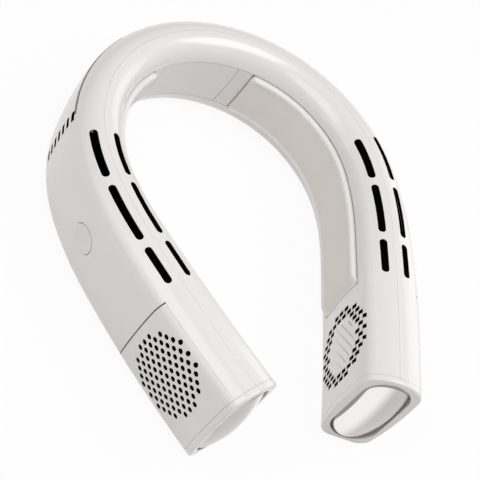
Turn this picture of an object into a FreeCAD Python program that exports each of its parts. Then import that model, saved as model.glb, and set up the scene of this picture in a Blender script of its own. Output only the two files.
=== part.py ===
import FreeCAD, Part
import math
import os

import Sketcher

# An electric neck fan: a rigid U-shaped band that lies round the neck, with a centrifugal fan in
# each end. X runs across the neck, the open front of the U faces -Y and Z is up. The band rests on
# its flat base at z = 0, and the origin is the middle of the footprint. A "place" is the distance
# along the band's middle line from the back centre, positive towards +X. "Out" is the distance from
# that line, positive away from the neck.

Vector = FreeCAD.Vector
UP = Vector(0, 0, 1)
ORIGIN = Vector(0, 0, 0)
FULL_TURN = 360
SIDES = (("left", -1), ("right", 1))

SIZES = {
    # plan of the middle line: three tangent arcs from the back centre to each end
    "back_radius": 78.0,
    "back_angle": 94.0,
    "shoulder_radius": 165.0,
    "shoulder_angle": 12.5,
    "arm_radius": 900.0,
    "half_length": 259.6,
    # cross-section of the band
    "front_height": 58.5,
    "back_height": 52.5,
    "front_half_width": 16.7,
    "back_half_width": 11.6,
    "base_inset": 2.3,
    "widen_start": 40.0,
    "widen_end": 220.0,
    "top_corner": 9.0,
    "base_corner": 8.0,
    "top_crown": 2.0,
    "side_radius": 180.0,
    "wall": 2.2,
    "station_step": 12.0,
    # gaps and cutting overrun
    "seam": 0.12,
    "fit_gap": 0.3,
    "flat_tolerance": 0.001,
    "shaft_gap": 0.03,
    "overrun": 4.0,
    # air outlet slots on the top
    "slot_width": 3.9,
    "slot_out": 6.1,
    "slot_start": 108.3,
    "slot_rear_length": 25.8,
    "slot_middle_length": 30.5,
    "slot_front_length": 20.4,
    "slot_bridge": 4.5,
    "slot_depth": 9.0,
    # rear cover with its side vents
    "rear_cover_end": 101.5,
    "rear_cover_low": 7.0,
    "rear_cover_top_drop": 7.5,
    "vent_start": 95.2,
    "vent_end": 100.4,
    "vent_width": 3.0,
    "vent_pitch": 5.6,
    "vent_count": 7,
    "vent_middle": 27.2,
    # fan covers and their round grille
    "fan_cover_start": 200.8,
    "fan_cover_line": 0.6,
    "fan_cover_low": 4.0,
    "fan_cover_top_drop": 3.6,
    "fan_place": 226.4,
    "fan_height": 29.3,
    "grille_pitch": 5.26,
    "grille_column": 3.2,
    "grille_half_length": 21.4,
    "grille_half_height": 23.0,
    "grille_hole": 2.85,
    "ring_hole_width": 2.45,
    "ring_hole_length": 4.2,
    "rib_groove_width": 0.9,
    "rib_groove_depth": 0.55,
    # end bezels and their inserts
    "bezel_length": 3.6,
    "bezel_round": 1.2,
    "bezel_plug": 2.2,
    "insert_width": 24.6,
    "insert_height": 52.4,
    "insert_corner": 12.0,
    "insert_recess": 2.6,
    "insert_proud": 3.6,
    "insert_across_radius": 19.4,
    "insert_up_radius": 95.0,
    # seat in the inner wall for plate, link panels and pads
    "seat_depth": 1.2,
    "seat_gap": 0.15,
    "seat_low": 10.0,
    "seat_top_drop": 11.0,
    "plate_half_length": 25.7,
    "link_end": 35.3,
    "pad_end": 198.0,
    "pad_edge": 2.0,
    "pad_crown": 3.8,
    "pad_end_round": 3.5,
    "pad_end_share": 0.55,
    # air duct
    "duct_floor_top": 38.2,
    "duct_floor_thick": 1.6,
    "duct_start": 96.0,
    "duct_end_wall": 1.6,
    # fan: impeller, motor and scroll
    "impeller_radius": 20.5,
    "impeller_inner": 10.3,
    "impeller_outer": 10.5,
    "blade_inner": 15.6,
    "blade_thick": 0.9,
    "blade_sweep": 28.0,
    "blade_count": 28,
    "blade_ring_thick": 1.1,
    "blade_ring_width": 1.9,
    "web_thick": 1.2,
    "web_place": 1.0,
    "nose_radius": 4.5,
    "nose_length": 4.0,
    "hub_wall": 1.2,
    "cup_radius": 10.95,
    "cup_wall": 0.75,
    "cup_length": 7.4,
    "magnet_thick": 0.95,
    "magnet_length": 5.4,
    "stator_radius": 8.8,
    "stator_core": 4.6,
    "stator_length": 4.6,
    "stator_lift": 1.5,
    "tooth_count": 6,
    "tooth_width": 2.0,
    "coil_width": 3.4,
    "coil_length": 3.4,
    "base_radius": 13.5,
    "base_thick": 1.4,
    "base_out": 12.3,
    "base_tube": 3.1,
    "base_tube_length": 6.9,
    "base_screw_circle": 10.8,
    "base_screw_count": 3,
    "bearing_radius": 2.4,
    "shaft_radius": 1.0,
    "scroll_gap": 1.5,
    "scroll_growth": 1.0,
    "scroll_thick": 1.4,
    "scroll_half_width": 11.0,
    "scroll_start_angle": 24.0,
    "scroll_end_angle": 60.0,
    # cells and their saddles
    "cell_radius": 9.1,
    "cell_length": 65.0,
    "cell_place": 161.5,
    "cell_height": 12.6,
    "cell_nub_radius": 3.0,
    "cell_nub_length": 1.0,
    "cell_round": 0.8,
    "saddle_length": 46.0,
    "saddle_width": 11.0,
    "saddle_height": 5.4,
    # power button, its switch and board
    "button_place": 150.0,
    "button_height": 27.2,
    "button_radius": 7.6,
    "button_proud": 0.3,
    "button_dish": 0.8,
    "button_flange": 1.2,
    "button_flange_thick": 0.9,
    "button_stroke": 0.5,
    "button_drop": 0.6,
    "plunger_radius": 1.5,
    "plunger_length": 1.6,
    "switch_width": 6.0,
    "switch_thick": 3.6,
    "switch_bore_depth": 2.2,
    "switch_board_length": 26.0,
    "switch_board_width": 12.4,
    "board_thick": 1.2,
    "board_post_radius": 1.6,
    "board_post_place": 10.6,
    # charging board and socket at the back centre
    "charge_board_length": 30.0,
    "charge_board_width": 10.5,
    "charge_board_height": 9.0,
    "charge_board_setback": 4.2,
    "charge_post_out": 2.2,
    "charge_post_place": 11.0,
    "socket_width": 8.94,
    "socket_height": 3.26,
    "socket_length": 7.3,
    "socket_wall": 0.3,
    "tongue_thick": 0.7,
    "tongue_width": 6.7,
    "tongue_back": 1.2,
    # wiring
    "loom_radius": 1.7,
    "loom_out": -3.4,
    "loom_height": 4.65,
    "loom_end": 120.0,
    "lead_radius": 0.9,
    "lead_out": -7.0,
    "lead_start": 199.0,
    "lead_end": 213.0,
    # fasteners
    "screw_radius": 1.0,
    "screw_head_radius": 1.9,
    "screw_head_thick": 1.3,
    "screw_length": 9.0,
    "screw_rear_place": 60.0,
    "screw_arm_place": 114.0,
    "screw_height": 25.0,
    "boss_radius": 3.0,
    "boss_depth": 4.4,
    "motor_screw_radius": 0.7,
    "motor_screw_head": 1.3,
    "motor_screw_head_thick": 0.7,
    "motor_screw_length": 3.2,
}

doc = FreeCAD.newDocument("NeckFan")
sheet = doc.addObject("Spreadsheet::Sheet", "Sizes")
for row, (alias, value) in enumerate(SIZES.items(), start=1):
    sheet.set(f"A{row}", alias)
    sheet.set(f"B{row}", str(value))
    sheet.setAlias(f"B{row}", alias)
doc.recompute()


def size(alias):
    """Value of one named size, read from the sheet."""
    return float(sheet.get(alias))


def cell(alias):
    """Expression that refers to one named size."""
    return f"Sizes.{alias}"


# The band's middle line and cross-section

ARCS = (
    (size("back_radius"), math.radians(size("back_angle"))),
    (size("shoulder_radius"), math.radians(size("shoulder_angle"))),
    (size("arm_radius"), math.pi),
)


def walk(place):
    """Plan offsets from the back centre and the turn of the middle line at a place."""
    left = abs(place)
    across = 0
    ahead = 0
    turn = 0
    for radius, angle in ARCS:
        step = min(left / radius, angle)
        across += radius * (math.sin(turn + step) - math.sin(turn))
        ahead += radius * (math.cos(turn) - math.cos(turn + step))
        turn += step
        left -= step * radius
    return across, ahead, turn


END_AHEAD, END_TURN = walk(size("half_length"))[1:]


def middle_line(place):
    """Point, outward normal and forward direction of the middle line at a place."""
    across, ahead, turn = walk(place)
    side = -1 if place < 0 else 1
    point = Vector(side * across, BACK_Y - ahead, 0)
    normal = Vector(side * math.sin(turn), math.cos(turn), 0)
    forward = Vector(side * math.cos(turn), -math.sin(turn), 0)
    return point, normal, forward


class Section:
    """Cross-section at a place: circle centres as (out, height) and radii, all tangent."""

    def __init__(self, place):
        start = size("widen_start")
        rise = (abs(place) - start) / (size("widen_end") - start)
        rise = min(max(rise, 0), 1)
        rise = rise * rise * (3 - 2 * rise)
        back = size("back_half_width")
        half_top = back + (size("front_half_width") - back) * rise
        half_base = half_top - size("base_inset")
        forward_share = walk(place)[1] / END_AHEAD
        self.height = size("back_height") + (size("front_height") - size("back_height")) * forward_share
        self.corner_radius = size("top_corner")
        self.base_radius = size("base_corner")
        self.side_radius = size("side_radius")
        drop = self.corner_radius + size("top_crown")
        reach = half_top - self.corner_radius
        self.corner = Vector(reach, self.height - drop)
        self.base = Vector(half_base - self.base_radius, self.base_radius)
        self.top_radius = (reach**2 + drop**2 - self.corner_radius**2) / (2 * (drop - self.corner_radius))
        self.top = Vector(0, self.height - self.top_radius)
        self.side = self.side_centre()

    def side_centre(self):
        """Centre of the side arc that is tangent inside to the top and base corner circles."""
        line = self.corner - self.base
        span = line.Length
        to_base = self.side_radius - self.base_radius
        to_corner = self.side_radius - self.corner_radius
        along = (span**2 + to_base**2 - to_corner**2) / (2 * span)
        off = math.sqrt(to_base**2 - along**2)
        line.normalize()
        return self.base + line * along + Vector(-line.y, line.x) * off

    def side_out(self, height, inset=0):
        """Distance of the side wall from the middle line at a height."""
        radius = self.side_radius - inset
        return self.side.x + math.sqrt(radius**2 - (height - self.side.y) ** 2)

    def top_height(self, out, inset=0):
        """Height of the crowned top at a distance from the middle line."""
        radius = self.top_radius - inset
        return self.top.y + math.sqrt(radius**2 - out**2)

    def joints(self, inset):
        """Points where the arcs of the outline meet, from the top down to the base flat."""
        return (
            toward(self.top, self.corner, self.top_radius - inset),
            toward(self.side, self.corner, self.side_radius - inset),
            toward(self.side, self.base, self.side_radius - inset),
            Vector(self.base.x, inset),
        )

    def half_outline(self, inset, start):
        """Curves of half the outline as point lists, from the top at a given out to the base."""
        top_end, side_top, side_base, base_end = self.joints(inset)
        return [
            arc_points(self.top, Vector(start, self.top_height(start, inset)), top_end),
            arc_points(self.corner, top_end, side_top),
            arc_points(self.side, side_top, side_base),
            arc_points(self.base, side_base, base_end),
            [base_end, Vector(start, inset)],
        ]


def toward(centre, target, radius):
    """Point at a radius from a centre, on the line through a target."""
    direction = target - centre
    direction.normalize()
    return centre + direction * radius


def arc_points(centre, first, last):
    """Three points of the arc between two points about a centre."""
    radius = (first - centre).Length
    middle = toward(centre, (first + last) * 0.5, radius)
    return [first, middle, last]


END_SECTION = Section(size("half_length"))
BACK_SECTION = Section(0)


def widest(section):
    """Largest distance of the outline from the middle line."""
    return section.side.x + section.side_radius


# The footprint is centred: the back reaches as far behind the origin as the ends reach in front.
BACK_Y = (END_AHEAD + widest(END_SECTION) * math.sin(END_TURN - math.pi / 2) - widest(BACK_SECTION)) / 2


def in_space(place, point):
    """Space point of an (out, height) point of the cross-section at a place."""
    line, normal, forward = middle_line(place)
    return line + normal * point.x + UP * point.y


def curve(points):
    """Edge through two points (a line) or three points (an arc)."""
    if len(points) == 2:
        return Part.LineSegment(*points).toShape()
    return Part.Arc(*points).toShape()


def section_wire(place, outline):
    """Closed wire of an outline, a list of point lists in (out, height), at a place."""
    edges = [curve([in_space(place, point) for point in points]) for points in outline]
    return Part.Wire(edges)


def stations(start, end):
    """Evenly spaced places from start to end."""
    count = max(2, math.ceil((end - start) / size("station_step")))
    return [start + (end - start) * index / count for index in range(count + 1)]


def band_loft(places, outline_at):
    """Solid through the outlines at the given places."""
    solid = Part.makeLoft([section_wire(place, outline_at(place)) for place in places], True)
    if solid.Volume < 0:
        solid.reverse()
    return solid


def with_level_planes(solid):
    """The same solid with its level faces as true planes, so that it has a flat face to rest on."""
    faces = []
    for face in solid.Faces:
        if face.BoundBox.ZLength < size("flat_tolerance"):
            middle = face.CenterOfMass
            plane = Part.Plane(middle, face.normalAt(*face.Surface.parameter(middle)))
            face = Part.Face(plane, [face.OuterWire])
        faces.append(face)
    return Part.Solid(Part.Shell(faces))


def polygon(corners):
    """Outline of straight lines through corner points."""
    return [[corner, corners[(index + 1) % len(corners)]] for index, corner in enumerate(corners)]


def band_block(start, end, low_out, high_out, low, high):
    """Block that follows the band; its limits are functions of the section."""

    def outline_at(place):
        section = Section(place)
        inner = low_out(section)
        outer = high_out(section)
        base = low(section)
        top = high(section)
        return polygon([Vector(inner, base), Vector(outer, base), Vector(outer, top), Vector(inner, top)])

    return band_loft(stations(start, end), outline_at)


def fixed(value):
    """A limit that is the same at every section."""
    return lambda section: value


def below_top(drop):
    """A limit at a set drop below the crown."""
    return lambda section: section.height - drop


def within_wall(height):
    """A limit that is clear of the wall's inner face at a height."""
    return lambda section: section.side_out(height) - size("overrun")


def beyond_wall(section):
    """A limit that is clear of the outer wall."""
    return widest(section) + size("overrun")


def mirrored_outline(outline):
    """The outline on the neck side of the middle line."""
    return [[Vector(-point.x, point.y) for point in points] for points in outline]


# Document helpers


def feature(label, shape, placement=None):
    """Document object that holds a shape."""
    item = doc.addObject("Part::Feature", label)
    item.Label = label
    item.Shape = shape
    if placement is not None:
        item.Placement = placement
    return item


def cut(label, base, tool):
    """Boolean cut of two document objects."""
    item = doc.addObject("Part::Cut", label)
    item.Label = label
    item.Base = base
    item.Tool = tool
    return item


def common(label, base, tool):
    """Boolean intersection of two document objects."""
    item = doc.addObject("Part::Common", label)
    item.Label = label
    item.Base = base
    item.Tool = tool
    return item


def fuse(label, items):
    """Boolean union of document objects."""
    item = doc.addObject("Part::MultiFuse", label)
    item.Label = label
    item.Shapes = items
    return item


def group(label, shapes):
    """Document object that holds several separate solids."""
    return feature(label, Part.makeCompound(shapes))


def axes_placement(point, forward, axis):
    """Placement with its Z along an axis and its X along a forward direction."""
    return FreeCAD.Placement(point, FreeCAD.Rotation(forward, axis.cross(forward), axis, "ZXY"))


def wall_placement(place, height, out):
    """Placement on the band with Z pointing away from the neck and X forward along the arm."""
    line, normal, forward = middle_line(place)
    return axes_placement(line + normal * out + UP * height, forward, normal)


def cylinder(placement, radius, start, end):
    """Solid cylinder along a placement's Z, from start to end."""
    solid = Part.makeCylinder(radius, end - start, Vector(0, 0, start))
    solid.Placement = placement.multiply(solid.Placement)
    return solid


def block(placement, length, width, start, end):
    """Solid block centred on a placement's Z, from start to end."""
    solid = Part.makeBox(length, width, end - start, Vector(-length / 2, -width / 2, start))
    solid.Placement = placement.multiply(solid.Placement)
    return solid


# Part design helpers


def new_body(label, placement):
    """Empty body of one sub-part."""
    body = doc.addObject("PartDesign::Body", label)
    body.Label = label
    body.Placement = placement
    return body


def origin_feature(body, role):
    """Origin plane or axis of a body."""
    return next(item for item in body.Origin.OriginFeatures if item.Role == role)


def new_sketch(body, role="XY_Plane", lift=None):
    """Sketch on an origin plane of a body, lifted along the plane's normal by an expression."""
    sketch = body.newObject("Sketcher::SketchObject", "Sketch")
    sketch.AttachmentSupport = [(origin_feature(body, role), "")]
    sketch.MapMode = "FlatFace"
    if lift:
        sketch.setExpression("AttachmentOffset.Base.z", lift)
    return sketch


def circle(sketch, radius, across=None):
    """Circle of an expression radius about the sketch origin, or moved along X by an expression."""
    index = sketch.addGeometry(Part.Circle(ORIGIN, UP, 1))
    if across:
        sketch.addConstraint(Sketcher.Constraint("PointOnObject", index, 3, -1))
        moved = sketch.addConstraint(Sketcher.Constraint("DistanceX", -1, 1, index, 3, 1))
        sketch.setExpression(f"Constraints[{moved}]", across)
    else:
        sketch.addConstraint(Sketcher.Constraint("Coincident", index, 3, -1, 1))
    limit = sketch.addConstraint(Sketcher.Constraint("Radius", index, 1))
    sketch.setExpression(f"Constraints[{limit}]", radius)


def outline(sketch, corners):
    """Closed polygon whose corners are pairs of expressions; a zero lies on the axis."""
    count = len(corners)
    starts = [Vector(math.cos(2 * math.pi * index / count), math.sin(2 * math.pi * index / count))
              for index in range(count)]
    lines = [sketch.addGeometry(Part.LineSegment(starts[index], starts[(index + 1) % count]))
             for index in range(count)]
    for index, line in enumerate(lines):
        following = lines[(index + 1) % count]
        sketch.addConstraint(Sketcher.Constraint("Coincident", line, 2, following, 1))
        across, along = corners[index]
        place_corner(sketch, line, "DistanceX", across, starts[index].x, -2)
        place_corner(sketch, line, "DistanceY", along, starts[index].y, -1)


def place_corner(sketch, line, kind, expression, start, axis):
    """Bind one coordinate of a line's first point to an expression."""
    if expression == "0":
        sketch.addConstraint(Sketcher.Constraint("PointOnObject", line, 1, axis))
        return
    index = sketch.addConstraint(Sketcher.Constraint(kind, -1, 1, line, 1, start))
    sketch.setExpression(f"Constraints[{index}]", expression)


def rectangle(sketch, length, width):
    """Rectangle centred on the sketch origin, of expression sizes."""
    outline(sketch, [(f"-({length}) / 2", f"-({width}) / 2"), (f"({length}) / 2", f"-({width}) / 2"),
                     (f"({length}) / 2", f"({width}) / 2"), (f"-({length}) / 2", f"({width}) / 2")])


def pad(body, sketch, length, reverse=False):
    """Pad of a sketch by an expression length."""
    item = body.newObject("PartDesign::Pad", "Pad")
    item.Profile = sketch
    item.Reversed = reverse
    item.setExpression("Length", length)
    return item


def pocket(body, sketch, length, reverse=False):
    """Pocket of a sketch by an expression depth."""
    item = body.newObject("PartDesign::Pocket", "Pocket")
    item.Profile = sketch
    item.Reversed = reverse
    item.setExpression("Length", length)
    return item


def revolve(body, sketch):
    """Full revolution of a sketch about its own vertical axis."""
    item = body.newObject("PartDesign::Revolution", "Revolution")
    item.Profile = sketch
    item.ReferenceAxis = (sketch, ["V_Axis"])
    item.Angle = FULL_TURN
    return item


def polar_pattern(body, item, count):
    """Copies of a feature round the body's Z axis."""
    pattern = body.newObject("PartDesign::PolarPattern", "PolarPattern")
    pattern.Originals = [item]
    pattern.Axis = (origin_feature(body, "Z_Axis"), [""])
    pattern.Angle = FULL_TURN
    pattern.setExpression("Occurrences", count)
    body.Tip = pattern
    return pattern


# Casing


def skin(label, neck_side, start, end):
    """Half of the hollow band between two places, outside or neck side of the crown seam."""
    wall = size("wall")
    edge = size("seam") / 2

    def outline_at(place):
        section = Section(place)
        outer = section.half_outline(0, edge)
        inner = [points[::-1] for points in section.half_outline(wall, edge)[::-1]]
        base_step = [outer[-1][-1], inner[0][0]]
        crown_step = [inner[-1][-1], outer[0][0]]
        ring = outer + [base_step] + inner + [crown_step]
        return mirrored_outline(ring) if neck_side else ring

    return feature(label, with_level_planes(band_loft(stations(start, end), outline_at)))


def shell_reach():
    """Place where the shells stop behind the end bezels."""
    return size("half_length") - size("bezel_length") - size("seam")


def fan_ends(side):
    """Places between which an arm's fan sits, in rising order."""
    return sorted((side * size("fan_cover_start"), side * shell_reach()))


def arc_breaks(start, end):
    """Start and end of a stretch of the middle line with the arc joints between them."""
    first = size("back_radius") * ARCS[0][1]
    second = first + size("shoulder_radius") * ARCS[1][1]
    inside = [joint for joint in (-second, -first, first, second) if start < joint < end]
    return [start] + inside + [end]


def band_arcs(start, end, out, height):
    """Edges along the band at a constant distance from the middle line."""
    breaks = arc_breaks(start, end)
    edges = []
    for first, last in zip(breaks, breaks[1:]):
        places = (first, (first + last) / 2, last)
        edges.append(Part.Arc(*[in_space(place, Vector(out, height)) for place in places]).toShape())
    return edges


def slot_tool(start, end, out, half):
    """Upright cutter for one outlet slot with round ends, between two tip centres."""
    low = min(Section(start).height, Section(end).height) - size("slot_depth")
    edges = band_arcs(start, end, out - half, low) + band_arcs(start, end, out + half, low)
    for place, sign in ((start, -1), (end, 1)):
        line, normal, forward = middle_line(place)
        side = -1 if place < 0 else 1
        centre = in_space(place, Vector(out, low))
        tip = centre + forward * (sign * side * half)
        edges.append(Part.Arc(centre - normal * half, tip, centre + normal * half).toShape())
    face = Part.Face(Part.Wire(Part.__sortEdges__(edges)))
    return face.extrude(UP * (size("slot_depth") + size("overrun")))


def slot_tools(sign):
    """Cutters for the outlet slots of one row: outside the crown for +1, neck side for -1."""
    half = size("slot_width") / 2
    tools = []
    start = size("slot_start")
    for length in (size("slot_rear_length"), size("slot_middle_length"), size("slot_front_length")):
        for name, side in SIDES:
            ends = sorted((side * (start + half), side * (start + length - half)))
            tools.append(slot_tool(ends[0], ends[1], sign * size("slot_out"), half))
        start += length + size("slot_bridge")
    return tools


def side_window(start, end, low, drop, gap):
    """Block that frames a panel of the outer wall, shrunk by a gap on every side."""
    return band_block(start + gap, end - gap, fixed(size("wall")), beyond_wall, fixed(low + gap),
                      below_top(drop + gap))


def fan_window(side, gap, line):
    """Block that frames the fan cover of one arm, shrunk by a gap and by a line at its rear edge."""
    ends = sorted((side * (size("fan_cover_start") + line), side * (size("half_length") + size("overrun"))))
    return side_window(ends[0], ends[1], size("fan_cover_low"), size("fan_cover_top_drop"), gap)


def rear_window(gap):
    """Block that frames the rear cover."""
    reach = size("rear_cover_end")
    return side_window(-reach, reach, size("rear_cover_low"), size("rear_cover_top_drop"), gap)


def fan_axis(side):
    """Placement at the fan's middle, Z along its axis away from the neck and X forward."""
    return wall_placement(side * size("fan_place"), size("fan_height"), 0)


def lattice():
    """Places of the grille holes about the fan axis, as (forward, up), in staggered columns."""
    pitch = size("grille_pitch")
    column = size("grille_column")
    columns = math.floor(size("grille_half_length") / column)
    rows = math.ceil(size("grille_half_height") / pitch)
    places = []
    for index in range(-columns, columns + 1):
        shift = pitch / 2 * (index % 2)
        for row in range(-rows, rows + 1):
            forward = index * column
            up = row * pitch + shift
            inside = (forward / size("grille_half_length")) ** 2 + (up / size("grille_half_height")) ** 2
            if inside <= 1:
                places.append((forward, up))
    return places


def wall_lean(side, up):
    """Cosine of the wall's lean at a height over the fan axis: 1 below the rounded top corner."""
    section = Section(side * size("fan_place"))
    over = max(size("fan_height") + up - section.corner.y, 0) / section.corner_radius
    return math.sqrt(1 - over**2)


def fan_cover(name, side):
    """Outer panel of an arm's end with the round-hole intake grille."""
    panel = common(f"{name}_fan_panel", skin(f"{name}_fan_skin", False, *fan_ends(side)),
                   feature(f"{name}_fan_frame", fan_window(side, size("seam") / 2, size("fan_cover_line"))))
    axis = fan_axis(side)
    holes = []
    for forward, up in lattice():
        place = axis.multiply(FreeCAD.Placement(Vector(forward, -side * up), FreeCAD.Rotation()))
        radius = size("grille_hole") / 2 * wall_lean(side, up)
        holes.append(cylinder(place, radius, 0, size("front_half_width") + size("overrun")))
    return cut(f"{name}_fan_cover", panel, group(f"{name}_grille_holes", holes))


def vent_tools():
    """Cutters for the side vents of the rear cover."""
    half = size("vent_width") / 2
    count = int(size("vent_count"))
    tools = []
    for index in range(count):
        height = size("vent_middle") + (index - (count - 1) / 2) * size("vent_pitch")
        for name, side in SIDES:
            ends = sorted((side * size("vent_start"), side * size("vent_end")))
            tools.append(band_block(ends[0], ends[1], within_wall(height), beyond_wall, fixed(height - half),
                                    fixed(height + half)))
    return tools


def socket_outline(width, height, middle, y):
    """Stadium face of the charging socket in the XZ plane at a given y."""
    radius = height / 2
    reach = width / 2 - radius
    corners = [Vector(-reach, y, middle - radius), Vector(reach, y, middle - radius),
               Vector(reach, y, middle + radius), Vector(-reach, y, middle + radius)]
    edges = [
        Part.LineSegment(corners[0], corners[1]).toShape(),
        Part.Arc(corners[1], Vector(reach + radius, y, middle), corners[2]).toShape(),
        Part.LineSegment(corners[2], corners[3]).toShape(),
        Part.Arc(corners[3], Vector(-reach - radius, y, middle), corners[0]).toShape(),
    ]
    return Part.Face(Part.Wire(edges))


def socket_middle():
    """Height of the charging socket's middle above the base."""
    return size("charge_board_height") + size("board_thick") + size("socket_height") / 2


def socket_mouth():
    """Y of the socket's mouth, flush with the outer face of the rear cover."""
    return BACK_Y + BACK_SECTION.side_out(socket_middle()) - size("fit_gap")


def rear_cover(outer_skin):
    """Outer panel of the back with the side vents and the mouth of the charging socket."""
    panel = common("rear_panel", outer_skin, feature("rear_panel_frame", rear_window(size("seam") / 2)))
    posts = [feature("rear_post", post) for post in screw_posts(rear_screw_places())]
    framed = fuse("rear_framed", [panel] + posts)
    gap = 2 * size("fit_gap")
    mouth = socket_outline(size("socket_width") + gap, size("socket_height") + gap, socket_middle(), BACK_Y)
    opening = mouth.extrude(Vector(0, widest(BACK_SECTION) + size("overrun"), 0))
    tools = vent_tools() + [opening] + pilot_tools(rear_screw_places())
    return cut("rear_cover", framed, group("rear_openings", tools))


def button_axis():
    """Placement on the outer face at the power button, Z along the wall's own normal."""
    place = -size("button_place")
    section = Section(place)
    line, normal, forward = middle_line(place)
    face = Vector(section.side_out(size("button_height")), size("button_height"))
    lean = face - section.side
    lean.normalize()
    return axes_placement(in_space(place, face), forward, normal * lean.x + UP * lean.y)


def rear_screw_places():
    """Signed places of the screws that hold the rear cover."""
    return [side * size("screw_rear_place") for name, side in SIDES]


def arm_screw_places():
    """Signed places of the screws that hold the two halves of the band together."""
    return [side * size("screw_arm_place") for name, side in SIDES]


def screw_places():
    """Signed places of all screws driven from the neck side."""
    return rear_screw_places() + arm_screw_places()


def screw_axis(place):
    """Placement on the neck-side face, Z pointing away from the neck."""
    return wall_placement(place, size("screw_height"), -Section(place).side_out(size("screw_height")))


def board_posts():
    """Posts of the outer half that carry the switch board and the charging board."""
    posts = []
    radius = size("board_post_radius")
    for sign in (-1, 1):
        place = button_axis().multiply(FreeCAD.Placement(Vector(sign * size("board_post_place"), 0, 0),
                                                         FreeCAD.Rotation()))
        posts.append(cylinder(place, radius, -SWITCH_BOARD_DEPTH, -size("wall") / 2))
        spot = Vector(sign * size("charge_post_place"), CHARGE_POST_Y, 0)
        place = FreeCAD.Placement(spot, FreeCAD.Rotation())
        posts.append(cylinder(place, radius, size("wall") / 2, size("charge_board_height")))
    return posts


def pilot_tools(places):
    """Cutters for the holes that the case screws bite into."""
    end = size("boss_depth") + size("screw_length")
    radius = size("screw_radius") + size("shaft_gap")
    return [cylinder(screw_axis(place), radius, 0, end) for place in places]


def screw_posts(places):
    """Posts of the outer pieces that the case screws bite into."""
    posts = []
    start = size("boss_depth") + size("fit_gap")
    for place in places:
        section = Section(place)
        span = 2 * section.side_out(size("screw_height")) - size("wall") / 2
        posts.append(cylinder(screw_axis(place), size("boss_radius"), start, span))
    return posts


def outer_shell(outer_skin):
    """Outer half of the band, open where the rear cover and the fan covers sit."""
    windows = [rear_window(-size("seam") / 2)]
    windows += [fan_window(side, -size("seam") / 2, 0) for name, side in SIDES]
    open_skin = cut("outer_skin_open", outer_skin, group("outer_windows", windows))
    posts = [feature("outer_post", post) for post in board_posts() + screw_posts(arm_screw_places())]
    framed = fuse("outer_framed", [open_skin] + posts)
    hole = size("button_radius") + size("fit_gap")
    tools = slot_tools(1) + [cylinder(button_axis(), hole, -size("overrun"), size("overrun"))]
    tools += pilot_tools(arm_screw_places())
    return cut("outer_shell", framed, group("outer_openings", tools))


def seat_tool():
    """Cutter for the shallow seat of plate, link panels and pads in the neck-side wall."""

    def outline_at(place):
        section = Section(place)
        depth = size("seat_depth")
        low = size("seat_low")
        high = section.height - size("seat_top_drop")
        far = -widest(section) - size("overrun")
        floor = arc_points(Vector(-section.side.x, section.side.y),
                           Vector(-section.side_out(low, depth), low),
                           Vector(-section.side_out(high, depth), high))
        far_low = Vector(far, low)
        far_high = Vector(far, high)
        return [floor, [floor[2], far_high], [far_high, far_low], [far_low, floor[0]]]

    reach = size("pad_end") + size("seam")
    return band_loft(stations(-reach, reach), outline_at)


def ring_tools(side):
    """Cutters for the ring of small intake slots round the motor on the neck side."""
    axis = fan_axis(side)
    reach = size("front_half_width") + size("overrun")
    width = size("ring_hole_width")
    tools = []
    for forward, up in lattice():
        if math.hypot(forward, up) > ring_inside():
            place = axis.multiply(FreeCAD.Placement(Vector(forward, -side * up), FreeCAD.Rotation()))
            length = size("ring_hole_length")
            length *= wall_lean(side, up + length / 2) ** 2
            tools.append(block(place, width, length, -reach, -size("base_out")))
    return tools


def ring_inside():
    """Radius of the closed middle within the ring of intake slots."""
    return size("base_radius") + size("ring_hole_width") / 2


def rib_tools(side):
    """Cutters for the shallow slanted grooves in the closed middle of the ring."""
    axis = fan_axis(side)
    face = Section(side * size("fan_place")).side_out(size("fan_height"))
    reach = size("front_half_width") + size("overrun")
    slant = math.atan2(size("grille_pitch") / 2, size("grille_column"))
    spacing = size("grille_pitch") * math.cos(slant)
    radius = ring_inside() - size("ring_hole_length") / 2
    count = math.floor(radius / spacing)
    turn = FreeCAD.Rotation(UP, math.degrees(-side * slant))
    tools = []
    for index in range(-count, count + 1):
        length = 2 * math.sqrt(radius**2 - (index * spacing) ** 2)
        place = axis.multiply(FreeCAD.Placement(turn.multVec(Vector(0, index * spacing)), turn))
        tools.append(block(place, length, size("rib_groove_width"), -reach, size("rib_groove_depth") - face))
    return tools


def base_screw_places(side):
    """Placements of the screws that hold a motor base, Z along the fan axis."""
    axis = fan_axis(side)
    count = int(size("base_screw_count"))
    places = []
    for index in range(count):
        angle = 2 * math.pi * index / count
        spot = Vector(math.cos(angle), math.sin(angle)) * size("base_screw_circle")
        places.append(axis.multiply(FreeCAD.Placement(spot, FreeCAD.Rotation())))
    return places


def intake_wall(name, side):
    """Neck-side wall of an arm's end with the motor boss and the ring of intake slots."""
    wall = skin(f"{name}_intake_skin", True, *fan_ends(side))
    start = -Section(side * size("fan_place")).side_out(size("fan_height")) + size("wall") / 2
    ring = cylinder(fan_axis(side), size("base_radius"), start, -size("base_out"))
    ring = ring.cut(cylinder(fan_axis(side), size("base_tube"), start, -size("base_out")))
    framed = fuse(f"{name}_intake_framed", [wall, feature(f"{name}_motor_boss", ring)])
    tools = ring_tools(side) + rib_tools(side)
    start = -size("base_out") - size("motor_screw_length") + size("base_thick")
    radius = size("motor_screw_radius") + size("shaft_gap")
    for place in base_screw_places(side):
        tools.append(cylinder(place, radius, start, -size("base_out")))
    return cut(f"{name}_intake_wall", framed, group(f"{name}_intake_openings", tools))


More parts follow.
